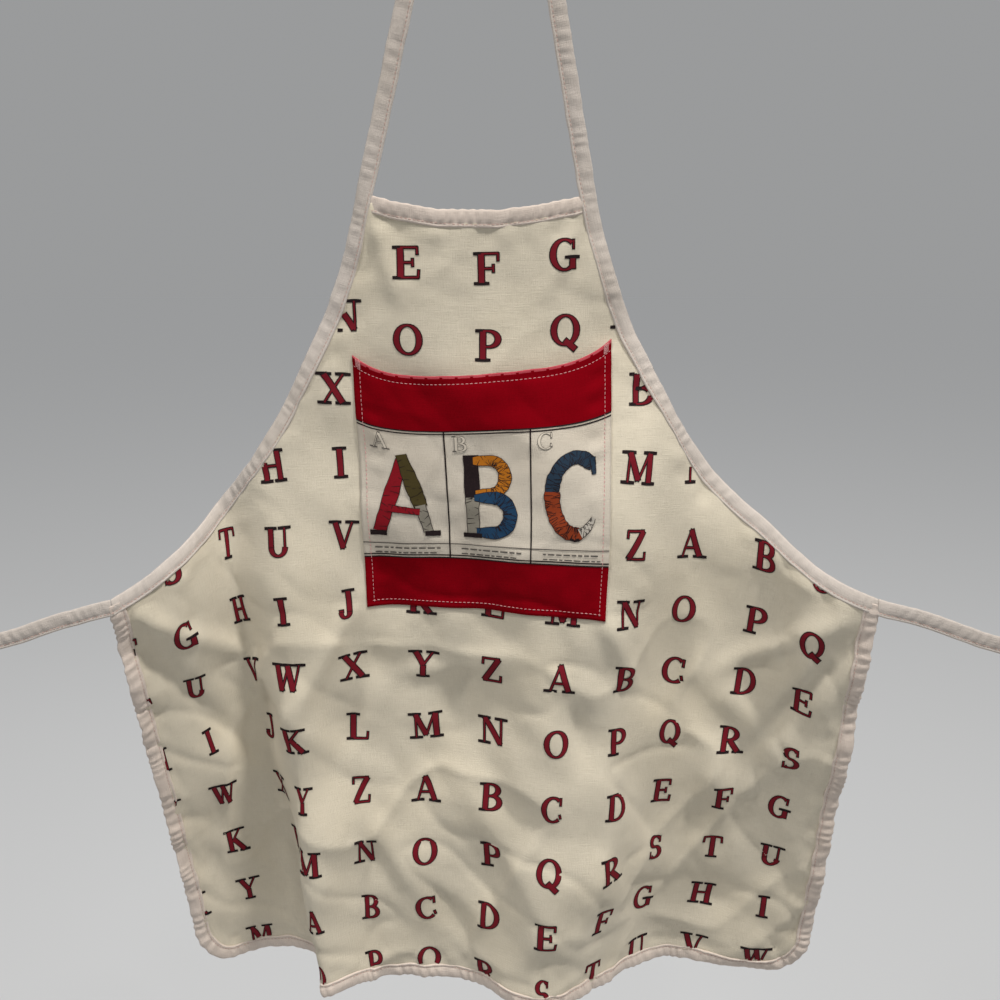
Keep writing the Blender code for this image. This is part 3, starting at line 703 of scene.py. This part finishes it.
print("hanging the cloth")
cell = canvas["cell"]
nu, nv = int(2 * cut["halfWidth"] / cell), int(cut["height"] / cell)
gridU, gridV = np.meshgrid(np.linspace(-cut["halfWidth"], cut["halfWidth"], nu + 1),
                           np.linspace(0, cut["height"], nv + 1))
inset = insetDepth(gridU, gridV)
surface = clothPoint(gridU, gridV, 0.0, inset)
inside = inset >= canvas["edgeIn"]
use = inside[:-1, :-1] & inside[1:, :-1] & inside[:-1, 1:] & inside[1:, 1:]
index = -np.ones(gridU.shape, int)
rows, cols = np.nonzero(use)
needed = np.zeros(gridU.shape, bool)
for dr, dc in ((0, 0), (0, 1), (1, 0), (1, 1)):
    needed[rows + dr, cols + dc] = True
index[needed] = np.arange(needed.sum())
faces = np.stack((index[rows, cols], index[rows, cols + 1], index[rows + 1, cols + 1],
                  index[rows + 1, cols]), -1)[:, ::-1].tolist()
cloth = meshObject("apronCloth", surface[needed], faces, "canvas", np.stack((gridU, gridV), -1)[needed])
thicken(cloth, canvas["thickness"])
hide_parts("body_panel")
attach(cloth, "apron")

print("printing the alphabet")
glyphStyle = {
    "height": 0.0240, "thick": 0.0044, "thin": 0.0013, "outline": 0.00085, "serif": (0.0118, 0.0026),
    "columnStep": 0.0636, "columnShift": 0.008, "rowStep": 0.0628, "firstRow": 0.0325,
    "lift": 0.00062, "inkGap": 0.00016, "clearOfTape": 0.0126,
}
# Letter shapes in cap heights: l line (x0 y0 x1 y1 weight), a arc (cx cy rx ry from to), f serif (x y)
stem = "l {0} 0 {0} 1 1;f {0} 0;f {0} 1"
glyphs = {
    "A": "l .47 1 .84 0 1;l .47 1 .12 0 0;l .25 .33 .70 .33 0;f .12 0;f .84 0",
    "B": stem.format(.2) + ";l .2 1 .38 1 0;l .2 .52 .4 .52 0;l .2 0 .4 0 0;a .38 .76 .28 .24 -90 90;"
         "a .40 .26 .33 .26 -90 90",
    "C": "a .50 .5 .38 .5 52 308;l .80 .98 .80 .70 0;l .82 .16 .78 .3 0",
    "D": stem.format(.2) + ";l .2 1 .38 1 0;l .2 0 .38 0 0;a .36 .5 .44 .5 -90 90",
    "E": stem.format(.22) + ";l .22 1 .78 1 0;l .22 .5 .62 .5 0;l .22 0 .8 0 0;l .78 1 .78 .78 0;"
         "l .8 0 .82 .24 0;l .62 .62 .62 .38 0",
    "F": stem.format(.22) + ";l .22 1 .78 1 0;l .22 .5 .62 .5 0;l .78 1 .78 .76 0;l .62 .62 .62 .38 0",
    "G": "a .50 .5 .38 .5 52 308;l .80 .98 .80 .70 0;l .78 .02 .78 .40 1;f .76 .42",
    "H": stem.format(.2) + ";" + stem.format(.78) + ";l .2 .5 .78 .5 0",
    "I": stem.format(.3),
    "J": "l .48 .2 .48 1 1;f .48 1;a .29 .2 .19 .2 180 360;l .12 .2 .12 .3 1",
    "K": stem.format(.2) + ";l .24 .40 .74 1 0;l .38 .56 .84 0 1;f .74 1;f .84 0",
    "L": stem.format(.24) + ";l .24 0 .8 0 0;l .8 0 .82 .28 0",
    "M": "l .14 0 .18 1 0;l .18 1 .54 .08 1;l .54 .08 .90 1 0;l .94 0 .94 1 1;f .14 0;f .14 1;f .94 0;"
         "f .94 1",
    "N": "l .16 0 .16 1 0;l .18 1 .82 .02 1;l .84 0 .84 1 0;f .16 0;f .16 1;f .84 1",
    "O": "a .48 .5 .39 .5 0 360",
    "P": stem.format(.2) + ";l .2 1 .38 1 0;l .2 .45 .38 .45 0;a .37 .725 .34 .275 -90 90",
    "Q": "a .48 .5 .39 .5 0 360;l .46 .16 .86 -.16 1",
    "R": stem.format(.2) + ";l .2 1 .38 1 0;l .2 .48 .38 .48 0;a .37 .74 .32 .26 -90 90;l .42 .48 .84 0 1;"
         "f .84 0",
    "S": "a .42 .74 .25 .24 40 270;a .42 .26 .27 .25 90 -140;l .64 .96 .66 .72 0;l .14 .30 .14 .04 0",
    "T": "l .46 0 .46 1 1;f .46 0;l .08 1 .84 1 0;l .08 1 .06 .74 0;l .84 1 .86 .74 0",
    "U": "l .2 .3 .2 1 1;a .48 .3 .28 .3 180 360;l .76 .3 .76 1 0;f .2 1;f .76 1",
    "V": "l .14 1 .46 0 1;l .46 0 .80 1 0;f .14 1;f .80 1",
    "W": "l .10 1 .34 0 1;l .34 0 .54 .9 0;l .52 1 .76 0 1;l .76 0 1.0 1 0;f .10 1;f .52 1;f 1.0 1",
    "X": "l .16 1 .80 0 1;l .80 1 .15 0 0;f .16 1;f .80 0;f .80 1;f .15 0",
    "Y": "l .13 1 .45 .46 1;l .80 1 .45 .46 0;l .45 0 .45 .46 1;f .13 1;f .80 1;f .45 0",
    "Z": "l .78 1 .16 0 1;l .16 1 .80 1 0;l .14 0 .80 0 0;l .16 1 .14 .76 0;l .80 0 .82 .24 0",
}
alphabet = "ABCDEFGHIJKLMNOPQRSTUVWXYZ"
centreLetters = "FPZKXLZNBPDR"          # the letter in the middle column of each row


def strokesOf(letter, style):              # centrelines with half widths, in metres, origin bottom left
    size, thick, thin = style["height"], style["thick"] / 2, style["thin"] / 2
    strokes = []
    for item in glyphs[letter].split(";"):
        kind, *values = item.split()
        values = [float(x) for x in values]
        if kind == "l":
            x0, y0, x1, y1, weight = values
            count = max(2, int(math.hypot(x1 - x0, y1 - y0) * size / 0.003) + 1)
            t = np.linspace(0, 1, count)
            line = np.stack((x0 + (x1 - x0) * t, y0 + (y1 - y0) * t), -1) * size
            half = np.full(count, thick if weight else thin)
            strokes.append((line, half, "heavy" if weight else "light"))
        elif kind == "f":
            w, h = style["serif"]
            x, y = values[0] * size, values[1] * size
            line = np.array([(x - w / 2, y), (x - w / 6, y), (x + w / 6, y), (x + w / 2, y)])
            strokes.append((line, np.array((h * 0.42, h * 0.5, h * 0.5, h * 0.42)), "serif"))
        else:
            cx, cy, rx, ry, first, last = values
            count = max(5, int(abs(last - first) / 15) + 1)
            angle = np.radians(np.linspace(first, last, count))
            line = np.stack((cx + rx * np.cos(angle), cy + ry * np.sin(angle)), -1) * size
            half = thin + (thick - thin) * np.abs(np.cos(angle)) ** 1.5
            strokes.append((line, half, "bowl"))
    return strokes


def strip(line, half, grow, ends):         # a ribbon of quads about a centreline
    way = np.gradient(line, axis=0)
    way /= np.linalg.norm(way, axis=1, keepdims=True)
    line = line.copy()
    line[0] -= way[0] * ends
    line[-1] += way[-1] * ends
    square = np.stack((-way[:, 1], way[:, 0]), -1)
    wide = (np.maximum(half + grow, 0.00008))[:, None]
    points = np.stack((line - square * wide, line, line + square * wide), 1).reshape(-1, 2)
    faces = []
    for k in range(len(line) - 1):
        a = 3 * k
        faces += [(a, a + 3, a + 4, a + 1), (a + 1, a + 4, a + 5, a + 2)]
    return points, faces


class Sticker:                             # printed shapes gathered into one mesh on a curved cloth
    def __init__(self, place):
        self.place, self.points, self.faces, self.ink, self.names = place, [], [], [], []

    def add(self, flat, faces, finish, lift):
        if finish not in self.names:
            self.names.append(finish)
        first = len(self.points)
        self.points += [(p[0], p[1], lift) for p in flat]
        self.faces += [tuple(first + i for i in face) for face in faces]
        self.ink += [self.names.index(finish)] * len(faces)

    def build(self, name, body):
        flat = np.array(self.points)
        where, keep = self.place(flat[:, :2], flat[:, 2])
        shown = [k for k, face in enumerate(self.faces) if all(keep[i] for i in face)]
        thing = meshObject(name, where, [self.faces[k] for k in shown], self.names,
                           faceFinish=[self.ink[k] for k in shown])
        bm = bmesh.new()
        bm.from_mesh(thing.data)
        bmesh.ops.delete(bm, geom=[v for v in bm.verts if not v.link_faces], context='VERTS')
        for face in bm.faces:
            if face.normal.y > 0:
                face.normal_flip()
        bm.to_mesh(thing.data)
        bm.free()
        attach(thing, body)
        return thing


def onCloth(flat, lift):
    flat = np.asarray(flat, float)
    depth = insetDepth(flat[:, 0], flat[:, 1])
    return clothPoint(flat[:, 0], flat[:, 1], lift, depth), depth > glyphStyle["clearOfTape"]


def printGlyph(sticker, letter, middle, turn, style, inks, lift):
    strokes = strokesOf(letter, style)
    everything = np.concatenate([line for line, _, _ in strokes])
    centre = (everything.min(0) + everything.max(0)) / 2
    cosine, sine = math.cos(turn), math.sin(turn)

    def put(points):
        p = points - centre
        return np.stack((middle[0] + p[:, 0] * cosine - p[:, 1] * sine,
                         middle[1] - (p[:, 0] * sine + p[:, 1] * cosine)), -1)

    for line, half, kind in strokes:
        points, faces = strip(line, half, style["outline"] if kind != "serif" else 0.0002,
                              0.0004 if kind != "light" else 0.0009)
        sticker.add(put(points), faces, inks[0], lift)
    for line, half, kind in strokes:
        if kind == "serif":
            continue
        points, faces = strip(line, half, 0.0, -0.0006 if kind == "heavy" else 0.0)
        sticker.add(put(points), faces, inks[1], lift + style["inkGap"])


letters = Sticker(onCloth)
luck = np.random.RandomState(17)
for row, middleLetter in enumerate(centreLetters):
    for column in range(-6, 7):
        u = glyphStyle["columnStep"] * column + glyphStyle["columnShift"]
        v = glyphStyle["firstRow"] + glyphStyle["rowStep"] * row
        turn = math.radians(luck.uniform(-4, 4))
        if row < 2:                            # the bib's slack middle lets the top rows down
            v += 0.026 * max(0.0, 1.0 - ((column + 0.2) / 1.9) ** 2)
            u -= 0.006 * column if abs(column) == 2 else 0.0
        if row == 2 and abs(column) < 2:
            v += 0.010
        if column == -4:
            u += 0.0030 * max(0, row - 4)
        if insetDepth(np.array([u]), np.array([v]))[0] < -0.006:
            continue
        letter = alphabet[(alphabet.index(middleLetter) + column) % 26]
        printGlyph(letters, letter, (u, v), turn, glyphStyle, ("blackInk", "crimsonInk"), glyphStyle["lift"])
letters.build("printedAlphabet", "apron")

print("sewing the pocket")
pocket = {
    "middle": 0.004, "halfWidth": 0.106, "top": 0.124, "drop": 0.228, "droop": 0.020, "tilt": 0.007,
    "gape": 0.009, "lift": 0.0013, "cell": 0.0024, "topBand": 0.245, "lowBand": 0.790,
    "dividers": (-0.315, 0.355), "captions": 0.728, "worn": 0.012, "thickness": 0.0010,
}


def pocketPoint(share, down, lift=0.0):
    share, down = np.asarray(share, float), np.asarray(down, float)
    u = pocket["middle"] + share * pocket["halfWidth"]
    openShare = (1 - share ** 4) * (1 - down)
    v = pocket["top"] + pocket["drop"] * down + (pocket["droop"] * openShare
                                                 - pocket["tilt"] * share * (1 - down)) * (1 - down)
    sewn = np.minimum(np.minimum(1 - np.abs(share), 1 - down) * 2.1, 0.35) / 0.35
    height = pocket["lift"] + lift
    height = height + pocket["gape"] * (1 - share ** 4) * smoothStep((1 - down) * 2) * (1 - 0.2 * down)
    height += smoothStep(sewn) * (0.0014 * softNoise(share * 0.105 + down * 0.05, down * 0.12, 0.040, 61)
                                  + 0.0006 * softNoise(share * 0.105, down * 0.227, 0.016, 62))
    nearSide = np.exp(-((1 - np.abs(share)) * 0.105 - 0.014) ** 2 / 0.00007)
    height += 0.0011 * nearSide * softNoise(share * 0.03, down * 0.227, 0.010, 64)
    nearLow = np.exp(-((1 - down) * 0.227 - 0.013) ** 2 / 0.00006)
    height += 0.0006 * nearLow * softNoise(share * 0.105, down * 0.03, 0.009, 65)
    hem = np.exp(-((down * 0.227 - 0.0085) / 0.0016) ** 2)
    height -= 0.0007 * hem
    wave = 0.0006 * softNoise(share * 0.105, 0 * down, 0.014, 66) * np.exp(-down / 0.03)
    return hang(u, v + wave) + hangNormal(u, v) * (relief(u, v) + height)[..., None]


pocketCols = int(2 * pocket["halfWidth"] / pocket["cell"])
levels = (pocket["worn"], pocket["topBand"], pocket["lowBand"], 1.0)
downs = [np.linspace(0, pocket["worn"], 3)]
for a, b in zip(levels, levels[1:]):
    downs.append(np.linspace(a, b, int((b - a) * pocket["drop"] / pocket["cell"]) + 1)[1:])
downs = np.concatenate(downs)
shares = np.linspace(-1, 1, pocketCols + 1)
gridS, gridD = np.meshgrid(shares, downs)
front = pocketPoint(gridS, gridD).reshape(-1, 3)
across = len(shares)
faces, coat = [], []
for r in range(len(downs) - 1):
    middleDown = (downs[r] + downs[r + 1]) / 2
    for c in range(across - 1):
        a = r * across + c
        faces.append((a, a + 1, a + across + 1, a + across)[::-1])
        worn = middleDown < 0.006 or (middleDown < pocket["worn"] and (c * 7919) % 5)
        coat.append(2 if worn else int(pocket["topBand"] < middleDown < pocket["lowBand"]))
pocketUv = np.stack((gridS * pocket["halfWidth"], gridD * pocket["drop"]), -1).reshape(-1, 2)
pouch = meshObject("patchPocket", front, faces, ["red", "panel", "worn"], pocketUv, faceFinish=coat)
thicken(pouch, pocket["thickness"])
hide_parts("pocket_panel")
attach(pouch, "apron")

seam = {"mouth": 0.0085, "side": 0.006, "low": 0.0055, "lift": 0.0008, "points": 90, "tacks": 7}
mouthDown, lowDown = seam["mouth"] / pocket["drop"], 1 - seam["low"] / pocket["drop"]
sideShare = 1 - seam["side"] / pocket["halfWidth"]


def seamRun(share0, down0, share1, down1):
    count = seam["points"]
    return pocketPoint(np.linspace(share0, share1, count), np.linspace(down0, down1, count), seam["lift"])


runs = [seamRun(-0.985, mouthDown, 0.985, mouthDown)]
runs += [seamRun(side * sideShare, 0.0, side * sideShare, lowDown) for side in (-1, 1)]
runs.append(seamRun(-sideShare, lowDown, sideShare, lowDown))
pocketSeams = stitches("pocketStitches", runs, "pinkThread", pitch=0.0036, length=0.0026, radius=0.00030)
barTacks = []
for side in (-1, 1):
    ends = np.array((side * (1 - 0.0035 / pocket["halfWidth"]), side * (sideShare - 0.004)))
    for k in range(seam["tacks"]):
        barTacks.append(pocketPoint(ends, np.full(2, 0.004 + 0.0045 * k), seam["lift"] + 0.0002))
tacks = stitches("pocketTacks", barTacks, "pinkThread", pitch=0.0016, length=0.0021, radius=0.00026)
for sewing in (pocketSeams, tacks):
    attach(sewing, "apron")


def onPocket(flat, lift):                  # flat here is (share, down)
    flat = np.asarray(flat, float)
    return pocketPoint(flat[:, 0], flat[:, 1], lift), np.ones(len(flat), bool)


def shareOf(x):
    return x / pocket["halfWidth"]


def bar(sticker, s0, s1, d0, d1, finish, lift):  # an upright rectangle in (share, down)
    n = max(1, int(abs(s1 - s0) * pocket["halfWidth"] / 0.003))
    m = max(1, int(abs(d1 - d0) * pocket["drop"] / 0.003))
    points = [(s0 + (s1 - s0) * i / n, d0 + (d1 - d0) * j / m) for j in range(m + 1) for i in range(n + 1)]
    faces = [(j * (n + 1) + i, j * (n + 1) + i + 1, (j + 1) * (n + 1) + i + 1, (j + 1) * (n + 1) + i)
             for j in range(m) for i in range(n)]
    sticker.add(points, faces, finish, lift)


def stroke(sticker, points, widths, finish, lift):   # a ribbon through points in metres on the pocket
    points = np.asarray(points, float)
    along = np.concatenate(([0], np.cumsum(np.linalg.norm(np.diff(points, axis=0), axis=1))))
    t = np.linspace(0, along[-1], max(3, int(along[-1] / 0.0025)))
    line = np.stack((np.interp(t, along, points[:, 0]), np.interp(t, along, points[:, 1])), -1)
    half = np.interp(t, along, widths) / 2
    flat, faces = strip(line, half, 0.0, 0.0)
    flat = np.stack((shareOf(flat[:, 0]), flat[:, 1] / pocket["drop"]), -1)
    sticker.add(flat, faces, finish, lift)


art = Sticker(onPocket)
ruleLift, inkLift = 0.00085, 0.00105
ruleHalf = 0.0006 / pocket["drop"]
for edge, way in ((pocket["topBand"], 1), (pocket["lowBand"], -1)):
    for k in range(2):
        d = edge + way * (0.0002 + 0.0026 * k) / pocket["drop"]
        bar(art, -0.998, 0.998, d - ruleHalf, d + ruleHalf, "blackInk", ruleLift)
captionDown = pocket["captions"]
for divider in pocket["dividers"]:
    half = shareOf(0.0006)
    bar(art, divider - half, divider + half, pocket["topBand"], pocket["lowBand"], "blackInk",
        ruleLift + 0.0001)
bar(art, -0.998, 0.998, captionDown - ruleHalf * 0.7, captionDown + ruleHalf * 0.7, "greyInk",
    ruleLift + 0.0001)

edges = (-1.0,) + pocket["dividers"] + (1.0,)
middles = [(edges[k] + edges[k + 1]) / 2 * pocket["halfWidth"] for k in range(3)]
top, base = pocket["topBand"] * pocket["drop"], captionDown * pocket["drop"]
artTop, artLow = top + 0.024, base - 0.008
artLuck = np.random.RandomState(43)


def patch(k, points, widths, finish, lift=0.0):
    rise = artLow - artTop
    fine = np.linspace(0, len(points) - 1, 4 * len(points))
    where = np.array([(middles[k] + x * 0.058, artLow - y * rise) for x, y in points])
    wide = np.array([w * 0.055 for w in widths])
    order = np.arange(len(points))
    where = np.stack((np.interp(fine, order, where[:, 0]), np.interp(fine, order, where[:, 1])), -1)
    wide = np.interp(fine, order, wide) * (1 + 0.10 * artLuck.uniform(-1, 1, len(fine)))
    stroke(art, where, wide + 0.0011, "blackInk", inkLift + lift)
    stroke(art, where, wide, finish, inkLift + lift + 0.00006)
    if finish == "blackInk":
        return
    way = np.gradient(where, axis=0)
    way /= np.linalg.norm(way, axis=1, keepdims=True)
    square = np.stack((-way[:, 1], way[:, 0]), -1)
    for m in range(1, len(fine) - 1):          # short dark strokes, like drawn folds
        side = artLuck.choice((-1, 1))
        a = where[m] + square[m] * wide[m] * 0.48 * side
        b = where[m] + square[m] * wide[m] * artLuck.uniform(-0.2, 0.2)
        b = b + way[m] * artLuck.uniform(-0.003, 0.003)
        stroke(art, (a, b), (0.0007, 0.0003), "blackInk", inkLift + lift + 0.00011)


def arc(cx, cy, rx, ry, first, last, count=14):
    return [(cx + rx * math.cos(math.radians(a)), cy + ry * math.sin(math.radians(a)))
            for a in np.linspace(first, last, count)]


# the A, the B and the C, patch by patch
patch(0, ((0.02, 0.97), (-0.17, 0.50), (-0.36, 0.05)), (0.16, 0.21, 0.18), "scarlet")
patch(0, ((0.0, 1.0), (0.15, 0.60), (0.24, 0.36)), (0.16, 0.22, 0.19), "olive", 0.0001)
patch(0, ((0.23, 0.38), (0.33, 0.05)), (0.15, 0.12), "stone", 0.0002)
patch(0, ((-0.22, 0.34), (0.22, 0.30)), (0.11, 0.10), "scarlet", 0.0003)
patch(0, ((-0.50, 0.03), (-0.26, 0.03)), (0.07, 0.07), "blackInk", 0.0003)
patch(0, ((0.28, 0.03), (0.50, 0.03)), (0.07, 0.07), "blackInk", 0.0003)
patch(1, ((-0.25, 0.46), (-0.25, 1.0)), (0.21, 0.22), "blackInk")
patch(1, ((-0.25, 0.03), (-0.25, 0.48)), (0.19, 0.20), "stone")
patch(1, [(-0.22, 0.93)] + arc(0.02, 0.73, 0.22, 0.20, 90, -90) + [(-0.2, 0.53)],
      (0.13,) + (0.18,) * 14 + (0.10,), "marigold", 0.0001)
patch(1, [(-0.22, 0.48)] + arc(0.06, 0.27, 0.25, 0.21, 90, -90) + [(-0.2, 0.06)],
      (0.10,) + (0.20,) * 14 + (0.13,), "blue", 0.0002)
patch(1, ((-0.40, 0.02), (-0.12, 0.02)), (0.06, 0.06), "blackInk", 0.0003)
patch(2, arc(0.05, 0.55, 0.34, 0.38, 40, 184), (0.10,) + (0.2,) * 12 + (0.22,), "navy")
patch(2, arc(0.05, 0.50, 0.34, 0.42, 172, 285), (0.22,) + (0.22,) * 12 + (0.16,), "rust", 0.0001)
patch(2, arc(0.05, 0.50, 0.34, 0.42, 283, 325, 6), (0.15, 0.14, 0.12, 0.11, 0.09, 0.06), "chalk", 0.0002)
patch(2, ((0.30, 0.90), (0.33, 0.72)), (0.08, 0.05), "navy", 0.0002)

small = dict(glyphStyle, height=0.0145, thick=0.0021, thin=0.0007, outline=0.00036, serif=(0.0058, 0.0007),
             inkGap=0.0001)


def onPocketMetres(flat, lift):
    flat = np.asarray(flat, float)
    return onPocket(np.stack((shareOf(flat[:, 0]), flat[:, 1] / pocket["drop"]), -1), lift)


labels = Sticker(onPocketMetres)
for k, letter in enumerate("ABC"):
    left = edges[k] * pocket["halfWidth"] + (0.012 if k else 0.019)
    printGlyph(labels, letter, (left, top + 0.0125), 0.0, small, ("greyInk", "panel"), ruleLift + 0.0002)
labels.build("panelLabels", "apron")

# two short rows of marks under each panel stand for a verse
luck = np.random.RandomState(29)
for k in range(3):
    left, right = edges[k] * pocket["halfWidth"] + 0.010, edges[k + 1] * pocket["halfWidth"] - 0.008
    for line in range(2):
        d = (base + 0.0044 + 0.0048 * line) / pocket["drop"]
        x = left
        while x < right - 0.003:
            word = luck.uniform(0.0022, 0.0068)
            bar(art, shareOf(x), shareOf(min(x + word, right)), d - 0.0006 / pocket["drop"],
                d + 0.0006 / pocket["drop"], "greyInk", ruleLift + 0.0002)
            x += word + 0.0016
art.build("pocketPicture", "apron")

print("tying the ties")


def smoothLine(points, count):
    points = np.asarray(points, float)
    knots = np.arange(len(points))
    slopes = np.gradient(points, axis=0)
    t = np.linspace(0, len(points) - 1, count)
    i = np.minimum(t.astype(int), len(points) - 2)
    f = (t - i)[:, None]
    return ((2 * f**3 - 3 * f**2 + 1) * points[i] + (f**3 - 2 * f**2 + f) * slopes[i]
            + (3 * f**2 - 2 * f**3) * points[i + 1] + (f**3 - f**2) * slopes[i + 1])


def knotMesh(name, centre, way, size, finish):  # an overhand knot's lumps: three turns round the tape
    up, along = Vector((0, 0, 1)), Vector(way).normalized()
    up = (up - along * up.dot(along)).normalized()
    out = along.cross(up)

    def turnAt(a):
        return (along * (size[0] * 0.62 * math.sin(2 * a)) + up * (size[2] * 0.60 * math.cos(a))
                + out * (size[1] * 0.60 * math.sin(a) + size[1] * 0.18 * math.cos(3 * a)))

    points, faces = [], []
    turns, ring = 90, 10
    for k in range(turns + 1):
        a = 2 * math.pi * k / turns
        line = turnAt(a)
        tangent = (turnAt(a + 0.01) - line).normalized()
        wide = tangent.cross(line.normalized()).normalized()
        thick = wide.cross(tangent)
        for j in range(ring):
            c = 2 * math.pi * j / ring
            spread = wide * (math.cos(c) * size[0] * 0.36) + thick * (math.sin(c) * size[1] * 0.34)
            points.append(Vector(centre) + line + spread * (1 + 0.12 * math.sin(5 * a + c)))
    for k in range(turns):
        for j in range(ring):
            n = (j + 1) % ring
            faces.append((k * ring + j, k * ring + n, (k + 1) * ring + n, (k + 1) * ring + j))
    uvs = [(k * 0.0006, j * 0.0014) for k in range(turns + 1) for j in range(ring)]
    thing = meshObject(name, points, faces, finish, uvs)
    faceOutwards(thing, weld=1e-6)
    return thing


for side, key, body in ((-1, "left", "left_tie"), (1, "right", "right_tie")):
    root = Vector(ties[key + "Root"])
    route = [(root.x + side * x, root.y, root.z + z) for x, z in ties[key]]
    sewn, sewnInward, sewnFront = tapeEnds[key]      # the armhole tape's end, where the tie starts
    line = smoothLine([sewn + (side * 0.0003, 0.0, 0.0)] + route[1:], ties["points"])
    way = np.gradient(line, axis=0)
    way /= np.linalg.norm(way, axis=1, keepdims=True)
    share = smoothStep(np.linspace(0, 10, len(line)))[:, None]
    facing = sewnFront * (1 - share) + np.array((0.0, -1.0, 0.0)) * share
    inward = np.cross(way, facing) * side
    inward = sewnInward * (1 - share) + inward * share
    inward /= np.linalg.norm(inward, axis=1, keepdims=True)
    tie, tieLine = tapeMesh(key + "WaistTie", line, inward, facing, "tape", 90 + side, pucker=0.35)
    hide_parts(key + "_waist_tie")
    row = stitches(key + "TieStitches", [tieLine], "thread")
    for piece in (tie, row):
        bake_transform(piece)
    knot = knotMesh(key + "TieKnot", line[-1] + way[-1] * 0.004, way[-1], ties["knot"], "tape")
    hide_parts(key + "_tie_knot")
    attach(knot, body)

for node, finish in (("hook_plate", "hookSteel"), ("hook_arm", "hookSteel"),
                     ("hook_screw_upper", "screwSteel"), ("hook_screw_lower", "screwSteel")):
    thing = bpy.data.objects[node]
    thing.data.materials.clear()
    thing.data.materials.append(finishes[finish])
